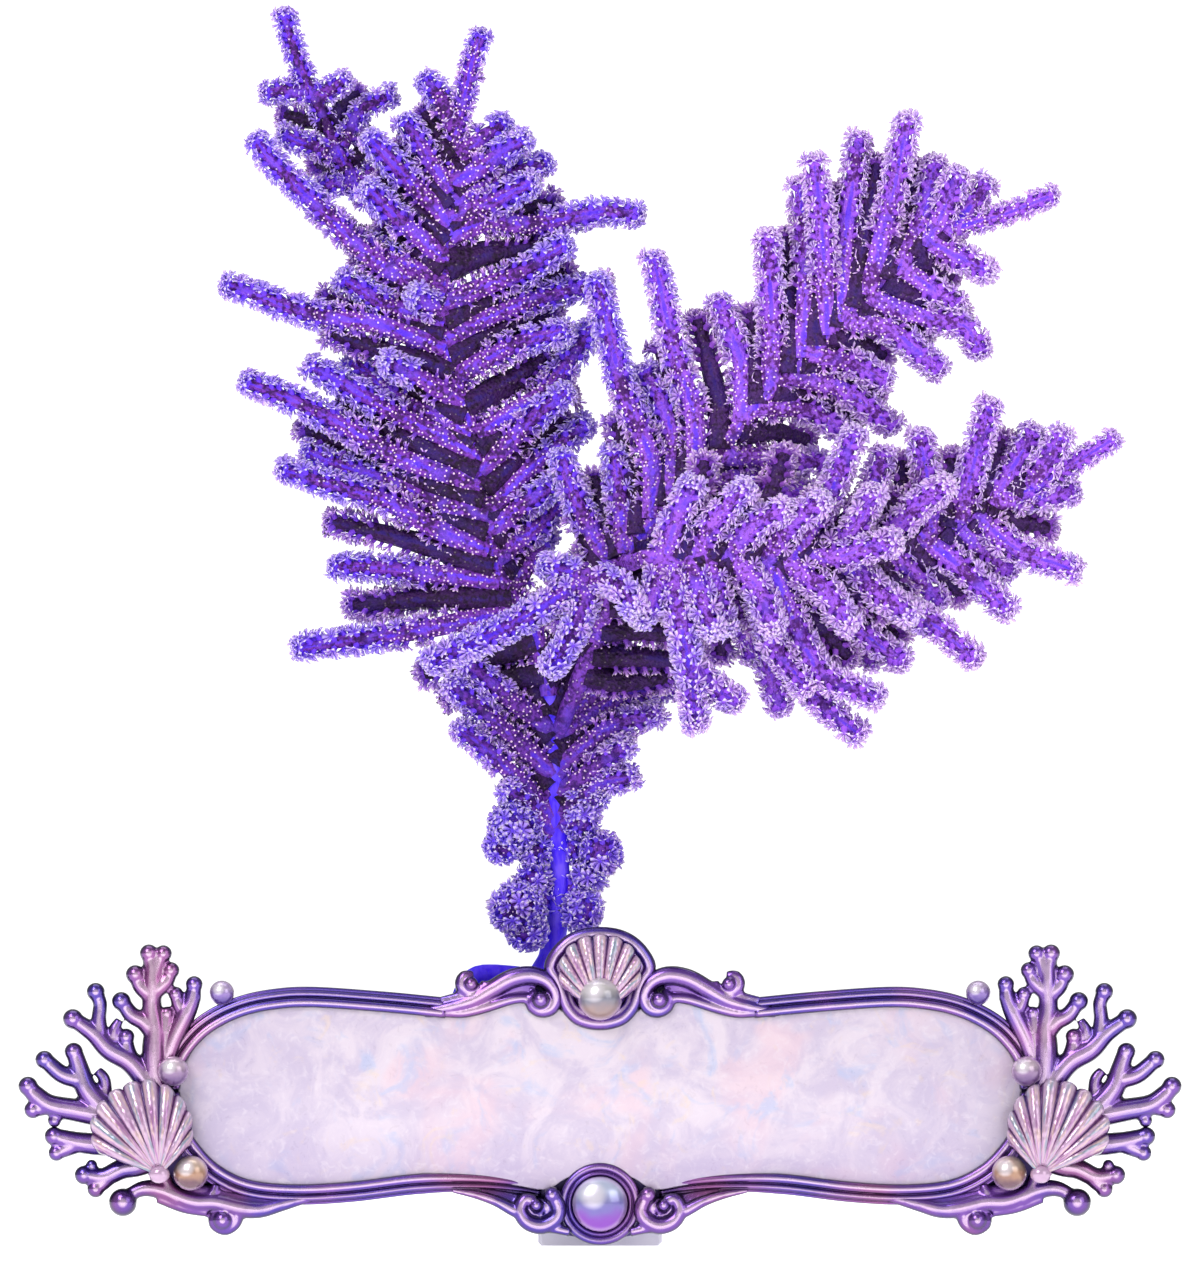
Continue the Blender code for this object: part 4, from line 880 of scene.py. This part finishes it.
scrolls = {
    "scroll_top": {
        "depth": -3.2,
        "routes": [
            [(-44, 58.9, 0.9), (-38.6, 59.6, 1.6), (-32, 61.4, 2.1), (-27, 64.2, 2.4), (-22, 66.9, 2.5),
             (-17, 67.7, 2.4),
             (-13, 66.1, 2.2), (-11, 62.8, 2.0), (-12.1, 59.6, 1.9), (-14.8, 58.8, 1.8), (-17.1, 60.4, 1.7),
             (-16.6, 62.8, 1.4), (-14.9, 63, 1.1)],
            [(-40, 61.6, 0.8), (-35, 62.6, 1.2), (-29.4, 64.3, 1.6), (-28.4, 66.2, 1.3)],
            [(-44, 57.8, 0.7), (-38.6, 58.3, 1.2), (-34, 58.4, 1.4), (-29, 59.6, 1.5), (-22, 61.7, 1.4),
             (-17, 62.0, 1.2)],
            [(-28.9, 63.9, 1.5), (-31.5, 63.0, 1.8), (-34.5, 64.8, 1.8), (-34, 67.4, 1.6), (-31.6, 67.6, 1.2)],
        ],
        "web": [[(-36, 60.2, 1.5), (-28, 62.4, 1.9), (-21, 64.2, 2.0), (-16, 64.6, 1.6)],
                [(-16, 61, 2.4), (-13, 62, 2.4)]],
        "balls": [((-14.8, -4.9, 61.6), 2.1), ((-32.2, -4.4, 65.6), 1.8)],
    },
    "scroll_bottom": {
        "depth": -4.2,
        "routes": [
            [(-11.8, 12.6, 2.1), (-10.3, 9.8, 2.0), (-11.1, 6.9, 2.1), (-14.6, 5.1, 2.2), (-18.3, 6.2, 2.1),
             (-20, 9.2, 1.9), (-18.6, 11.8, 1.7), (-16.2, 11.4, 1.4)],
            [(-18.5, 7, 1.2), (-22, 9.2, 1.6), (-26, 11.3, 1.4), (-31, 12.9, 1.1), (-37, 14, 0.6)],
            [(-7.5, 3.6, 1.2), (-11, 4.4, 1.3), (-14, 4.6, 1.2)],
        ],
        "web": [[(-30, 13.6, 1.4), (-24, 12.2, 1.9), (-19, 10.4, 2.6), (-14, 9.2, 3.2)],
                [(-14, 10, 3.0), (-11, 9, 3.0)]],
        "balls": [((-12, -4.6, 12.9), 2.2), ((-15.9, -5.0, 10.3), 1.6)],
    },
}
corals = {
    "coral_upper": {
        "girth": 1.22,
        "web": [[(-107, 45, 2.4), (-111, 46, 3.0), (-116, 43, 2.6)], [(-112, 42, 3.2), (-111.5, 52, 2.2)]],
        "routes": [
            [(-110.8, 39, 2.7), (-111.3, 48, 2.7), (-111.2, 54, 2.4), (-112, 60, 2.1), (-111.8, 65.5, 2.1),
             (-111.9, 69.5, 1.9), (-112.6, 72.9, 1.6)],
            [(-111.4, 67.5, 1.9), (-110.6, 70.5, 1.7), (-109.3, 72.9, 1.5)],
            [(-111.4, 63.5, 1.9), (-108.6, 66, 1.8), (-107.3, 68.6, 1.5)],
            [(-112, 62.5, 1.9), (-114.6, 64.8, 1.8), (-115.9, 67.5, 1.6)],
            [(-111.5, 53.5, 2.2), (-114, 56.2, 2.0), (-117, 57.8, 1.8), (-119.4, 61, 1.6)],
            [(-110, 51, 2.0), (-108.6, 55, 1.7), (-108.1, 58.2, 1.3)],
            [(-109, 44.5, 1.8), (-106.6, 51.5, 2.1), (-104, 57, 2.1), (-101.9, 61.6, 1.8), (-101.4, 65.2, 1.5)],
            [(-103.6, 58, 1.7), (-105.2, 60.4, 1.6), (-105.9, 62.8, 1.4)],
            [(-102, 62.5, 1.4), (-99.9, 63, 1.2)],
            [(-112, 39.5, 2.6), (-117, 45.8, 2.4), (-122.6, 49.2, 2.3), (-126.5, 53.2, 2.0), (-131.4, 56.6, 1.7)],
            [(-124.6, 50.6, 1.8), (-125.2, 56.5, 1.6), (-124.9, 60.5, 1.5), (-126, 63.4, 1.6)],
            [(-117.3, 46, 2.0), (-118.3, 49.5, 1.8), (-118.4, 52.2, 1.5)],
            [(-121.5, 51, 1.3), (-121.4, 54, 1.3), (-120, 56.6, 0.9)],
        ],
        "balls": [((-112.7, -2.9, 73.2), 1.9), ((-109.1, -2.9, 73.1), 1.8), ((-107.2, -2.9, 68.9), 1.8),
                  ((-116.1, -2.9, 67.9), 2.0), ((-119.6, -2.9, 61.2), 2.0), ((-131.7, -2.9, 56.8), 2.1),
                  ((-126, -2.9, 63.6), 1.9), ((-101.4, -2.9, 65.4), 1.8), ((-106, -2.9, 63), 1.6),
                  ((-118.4, -3, 52.3), 1.8), ((-108.1, -2.9, 58.3), 1.4)],
    },
    "coral_outer": {
        "girth": 1.24,
        "web": [[(-118, 36, 2.6), (-121, 34, 3.2), (-125, 34.5, 3.0)]],
        "routes": [
            [(-119, 31.5, 2.8), (-124, 34.5, 2.7), (-128.3, 39.3, 2.4), (-129.9, 44, 2.0), (-131.3, 48.2, 1.8)],
            [(-129.2, 41.5, 2.0), (-134.3, 42.9, 1.9), (-138.4, 46.3, 1.7)],
            [(-121, 32.2, 2.7), (-131, 34, 2.4), (-137.5, 35.3, 2.2), (-141, 37.8, 2.0), (-143, 40, 1.7)],
            [(-137, 35.3, 1.9), (-141.3, 34.2, 1.6)],
            [(-123.5, 36, 1.4), (-123.8, 41.5, 1.3), (-125.6, 44, 1.0)],
            [(-134.5, 34.6, 1.5), (-136.2, 31.6, 1.2)],
        ],
        "balls": [((-131.5, -2.9, 48.6), 1.9), ((-138.8, -2.9, 46.6), 1.9), ((-142.9, -2.9, 40), 2.0),
                  ((-141.7, -2.9, 34.1), 1.8), ((-136.3, -2.9, 31.4), 1.4)],
    },
    "coral_lower": {
        "girth": 1.22,
        "web": [[(-115, 23, 2.6), (-119, 23, 2.8)]],
        "routes": [
            [(-117, 25.2, 2.5), (-124, 25.4, 2.4), (-130.5, 26, 2.2), (-136, 27.4, 1.8)],
            [(-129.5, 26, 2.0), (-133, 24.6, 1.8), (-135.5, 23.4, 1.5)],
            [(-112.5, 20.6, 2.0), (-116, 20, 2.3), (-119.5, 19.3, 2.2), (-124, 17.3, 2.0), (-128.6, 17.8, 1.7)],
            [(-121.5, 18.6, 1.9), (-124, 16.2, 1.8), (-125.8, 14.4, 1.5)],
            [(-126, 17.6, 1.4), (-126.9, 20.2, 1.0)],
            [(-114, 22.5, 2.2), (-118, 25.5, 2.2)],
        ],
        "balls": [((-136.4, -2.9, 27.5), 2.0), ((-135.8, -2.9, 23.3), 1.7), ((-128.9, -2.9, 17.8), 2.0),
                  ((-126, -2.9, 14.3), 1.8), ((-127, -2.9, 20.3), 1.2)],
    },
    "scroll_tail": {
        "girth": 1.12,
        "web": [[(-104, 14.5, 1.8), (-98, 13.2, 2.4), (-91, 11.8, 2.3), (-84, 11.2, 2.1), (-77, 12.0, 1.7),
                 (-70, 12.8, 1.2)]],
        "routes": [
            [(-105, 11.8, 2.0), (-109, 13.8, 2.1), (-113.5, 14.5, 1.9), (-117, 13.2, 1.6), (-119, 11.4, 1.6)],
            [(-108.7, 17.6, 1.5), (-107.8, 14.4, 1.9), (-105, 12.3, 2.1), (-101, 11.1, 2.2), (-96, 11, 2.2),
             (-90, 9.6, 2.3), (-85, 9.2, 2.0), (-80, 10.4, 1.7), (-74, 11.8, 1.2), (-68, 12.8, 0.7)],
            [(-98, 11.4, 1.8), (-96.4, 13.8, 1.5), (-95.9, 15.6, 1.0)],
            [(-90.8, 8.8, 1.9), (-91.2, 5.8, 1.5), (-93.8, 4.3, 1.5), (-96.4, 5.8, 1.4), (-95.8, 8.3, 1.2),
             (-93.9, 8, 0.9)],
            [(-110.5, 12.2, 1.3), (-104, 9.8, 1.4), (-98, 8.6, 1.2)],
        ],
        "balls": [((-119.2, -3, 11), 3.2), ((-94.3, -3.6, 6.5), 2.2)],
    },
}


def castPiece(node, word, side, form, voxel=0.32, rounds=3):
    depth = form.get("depth", -2.8)
    routes = []
    for route in form["routes"]:
        spots = smoothRoute([(x * side, depth, z, r) for x, z, r in route], 0.8)
        routes.append(spots * (1, 1, 1, form.get("girth", 1.0)))
    for route in form.get("web", ()):
        routes.append(smoothRoute([(x * side, -1.7, z, r) for x, z, r in route], 0.8))
    shape = baked(tubes(f"{node}_{word}", routes, 12))
    for (x, y, z), radius in form["balls"]:
        addBall(shape, (x * side, y, z), [radius * form.get("girth", 1.0)] * 3, 12)
    keep(fused(f"{node}_{word}_cast", shape, voxel, rounds), castSkin, "resin", f"{node}_{word}")


sideShell = {"umbo": (-110.0, 18.2), "reach": 23.4, "start": 0.1, "spread": 58, "turn": 12, "ribs": 10,
             "knob": (2.3, 2.2, 1.9), "knobOut": 3.6, "bulge": 5.4, "back": -5.8, "falls": ((0.56, 1.6), (0.31, 3.0))}
crestShell = {"umbo": (0.0, 58.4), "reach": 19.0, "start": 0.2, "spread": 55, "turn": 0, "ribs": 9,
              "knob": (1.4, 0.9, 1.2), "knobOut": 1.6, "bulge": 3.2, "back": -4.9,
              "falls": ((0.42, 2.4), (0.42, 2.4))}


def shellPiece(name, node, form, side):
    rays, rings = form["ribs"] * 8, 26
    shape = bmesh.new()
    bmesh.ops.create_grid(shape, x_segments=rays, y_segments=rings, size=0.5)
    ridgeLayer = shape.verts.layers.float.new("ridge")
    outLayer = shape.verts.layers.float.new("out")
    acrossLayer = shape.verts.layers.float.new("across")
    for vert in shape.verts:
        across, out = vert.co.x * 2, vert.co.y + 0.5
        ridge = abs(math.sin((vert.co.x + 0.5) * form["ribs"] * math.pi)) ** 0.85
        angle = math.radians(form["turn"] + form["spread"] * across)
        fall, power = form["falls"][across > 0]
        edge = (1 - fall * abs(across) ** power) * (1 + 0.05 * (ridge - 0.5))
        reach = form["reach"] * edge * (form["start"] + (1 - form["start"]) * out)
        dome = form["bulge"] * math.sin(math.pi * (0.24 + 0.70 * out)) ** 0.8
        lift = (0.45 + 1.0 * out) * (ridge - 0.5)
        vert[ridgeLayer], vert[outLayer], vert[acrossLayer] = ridge, out, across * side
        vert.co = Vector(((form["umbo"][0] - reach * math.sin(angle)) * side,
                          form["back"] + shift - dome - lift, form["umbo"][1] + reach * math.cos(angle))) * mm
    grown = len(shape.verts)
    addBall(shape, (form["umbo"][0] * side, form["back"] - form["knobOut"], form["umbo"][1]), form["knob"], 10)
    shape.verts.ensure_lookup_table()
    for vert in shape.verts[grown:]:
        vert[ridgeLayer] = 0.9
    piece = meshPiece(name, shape)
    wall = piece.modifiers.new("Wall", "SOLIDIFY")
    wall.thickness = 0.8 * mm
    wall.offset = 0
    keep(piece, shellSkin, "shell", node)


def ballPiece(name, node, centre, halves, skin, slot):
    shape = bmesh.new()
    addBall(shape, centre, halves, 32)
    keep(meshPiece(name, shape), skin, slot, node)


pearls = {  # centre, half sizes, colours top, middle, bottom; lighter on top and darker below, painted light and shade
    "pearl_mid": ((-106.5, -6.4, 43.8), 3.8, (196, 174, 190), (136, 106, 146), (100, 68, 122)),
    "pearl_lower": ((-102.2, -6.6, 18.4), 4.4, (208, 184, 166), (166, 126, 102), (104, 70, 84)),
    "bead": ((-94.5, -2.6, 63.3), 3.1, (178, 158, 194), (128, 100, 170), (80, 54, 138)),
}
scrollVoxel, scrollRounds = 0.28, 7  # grid of the cast skin in mm, times that it is smoothed
for word, side in mirrored.items():
    for node in ("rail_top", "rail_bottom"):
        railPiece(node, word, side)
    for node, form in scrolls.items():
        castPiece(node, word, side, form, scrollVoxel, scrollRounds)
    for node, form in corals.items():
        castPiece(node, word, side, form)
    shellPiece(f"shell_{word}_nacre", f"shell_{word}", sideShell, side)
    for node, (centre, radius, *shades) in pearls.items():
        spot = (centre[0] * side, *centre[1:])
        skin = pearlMaterial(f"{node}_{word}_painted_lustre", (spot[0], spot[2]), radius, *[tint(*shade) for shade in shades])
        ballPiece(f"{node}_{word}_ball", f"{node}_{word}", spot, [radius] * 3, skin,
                  "resin" if node == "bead" else "pearl")
print("sides of the plate ready")

crestForm = {
    "arch": [(0, 78.1), (4.4, 77.6), (8, 75.9), (10.8, 73), (12.3, 69.6), (10.6, 66.6), (9.4, 63.4), (8.2, 60),
             (5.8, 57.2), (2.8, 56), (0, 55.7)],
    "inner": [(0, 75.9), (3.8, 75.5), (6.7, 74.1), (9.0, 71.6), (10.0, 69.2), (8.7, 66), (7.6, 63), (6.6, 60.4),
              (4.6, 58.7), (2.4, 57.9), (0, 57.7)],
}
arch = smoothRoute([(x, -3.0, z, 1.8) for x, z in bothSides(crestForm["arch"])], 0.7, True)
inner = smoothRoute([(x, -3.5, z, 0.85) for x, z in bothSides(crestForm["inner"])], 0.7, True)
shape = baked(tubes("crest_tubes", [arch, inner], 12, True))
field = slab("crest_field", flatten(bothSides(crestForm["arch"]), 0.8), -3.1, -0.2, 0.3)
extra = bpy.data.meshes.new("crest_field")
field.to_mesh(extra)
field.free()
shape.from_mesh(extra)
keep(fused("crest_cast", shape, 0.28, 2), castSkin, "resin", "crest")
shellPiece("crest_shell_nacre", "crest_shell", crestShell, 1)
ballPiece("crest_pearl_ball", "crest_pearl", (0, -6.2, 62.1), [5.6] * 3,
          pearlMaterial("crest_pearl_painted_lustre", (0, 62.1), 5.6, tint(202, 196, 196), tint(116, 114, 130),
                        tint(152, 126, 122)), "pearl")

bossRings = ((9.2, 1.15, 2.8), (7.6, 0.6, 2.9))  # ring radius, bead radius, height of its centre


def bossPiece():
    shape = bmesh.new()
    rows = [(0.0, 0.2), (10.3, 0.2)]
    for r in np.linspace(10.4, 6.7, 60):
        up = 1.9
        for ring, bead, height in bossRings:
            gap = bead ** 2 - (r - ring) ** 2
            up = max(up, height + math.sqrt(gap)) if gap > 0 else up
        rows.append((r, up if r < 10.35 else 0.6))
    rows.append((0.0, 1.9))
    verts = [shape.verts.new((r * mm, -up * mm, 0)) for r, up in rows]
    edges = [shape.edges.new(pair) for pair in zip(verts, verts[1:])]
    bmesh.ops.spin(shape, geom=verts + edges, cent=(0, 0, 0), axis=(0, 1, 0), angle=math.tau, steps=72,
                   use_merge=True)
    bmesh.ops.remove_doubles(shape, verts=shape.verts, dist=0.005 * mm)
    bmesh.ops.translate(shape, verts=shape.verts, vec=(0, shift * mm, 10.6 * mm))
    keep(meshPiece("boss_cast", shape), castSkin, "resin", "boss_ring")


bossPiece()
ballPiece("boss_pearl_ball", "boss_pearl", (0, -4.6, 10.6), (6.9, 4.0, 6.9),
          pearlMaterial("boss_pearl_painted_lustre", (0, 10.6), 6.9, tint(186, 194, 220), tint(108, 98, 168),
                        tint(128, 56, 174)), "pearl")
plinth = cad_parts["plinth"]
plinth.data.materials.clear()
plinth.data.materials.append(paleMaterial())
print("name plate ready")


# Floor, light and camera

def turnedPiece(name, profile):  # radius and height in metres, turned round the upright axis
    shape = bmesh.new()
    corners = [shape.verts.new((radius, 0, height)) for radius, height in profile]
    edges = [shape.edges.new(pair) for pair in zip(corners, corners[1:])]
    bmesh.ops.spin(shape, geom=corners + edges, axis=(0, 0, 1), cent=(0, 0, 0), dvec=(0, 0, 0),
                   angle=math.tau, steps=96, use_merge=True)
    bmesh.ops.remove_doubles(shape, verts=shape.verts, dist=1e-4)
    return meshPiece(name, shape)


floorRadius, wallRadius, wallHeight = 8.0, 9.0, 12.0
bend = [(floorRadius + math.sin(a), 1 - math.cos(a)) for a in np.linspace(0, math.pi / 2, 12)]
floor = turnedPiece("floor", [(0, 0), (2, 0), (5, 0), (floorRadius, 0)])
wall = turnedPiece("studio_wall", bend + [(wallRadius, wallHeight)])
wall.visible_diffuse = wall.visible_glossy = wall.visible_shadow = False  # seen behind the object, lights nothing
for piece, glow in ((floor, 0.8), (wall, 1.0)):
    piece.data.materials.append(stageMaterial(piece.name, glow))

lights = {
    "key": {"spot": (-0.75, -1.1, 1.15), "size": (0.7, 0.9), "power": 15.0},
    "fill": {"spot": (0.95, -1.0, 0.55), "size": (0.8, 0.9), "power": 4.6},
    "top": {"spot": (0.0, 0.15, 1.3), "size": (1.2, 0.8), "power": 6.0},
}
for name, form in lights.items():
    data = bpy.data.lights.new(name, "AREA")
    data.shape = "RECTANGLE"
    data.size, data.size_y = form["size"]
    data.energy = form["power"]
    lamp = linked(name, data)
    lamp.location = form["spot"]
    lamp.rotation_euler = (Vector((0, 0, 0.15)) - Vector(form["spot"])).to_track_quat("-Z", "Y").to_euler()

world = bpy.data.worlds.new("studio")
world.use_nodes = True
world.node_tree.nodes["Background"].inputs["Color"].default_value = (1, 1, 1, 1)
world.node_tree.nodes["Background"].inputs["Strength"].default_value = 0.4
bpy.context.scene.world = world
bpy.context.scene.view_settings.view_transform = "Standard"

distance, frameWidth, eyeHeight = 5.0, 0.32, 0.1515  # metres
view = bpy.data.cameras.new("view")
view.sensor_width = 36
view.lens = view.sensor_width * distance / frameWidth
view.clip_end = 50
camera = linked("view", view)
camera.location = (0, shift * mm - distance, eyeHeight)
camera.rotation_euler = (math.pi / 2, 0, 0)
bpy.context.scene.camera = camera
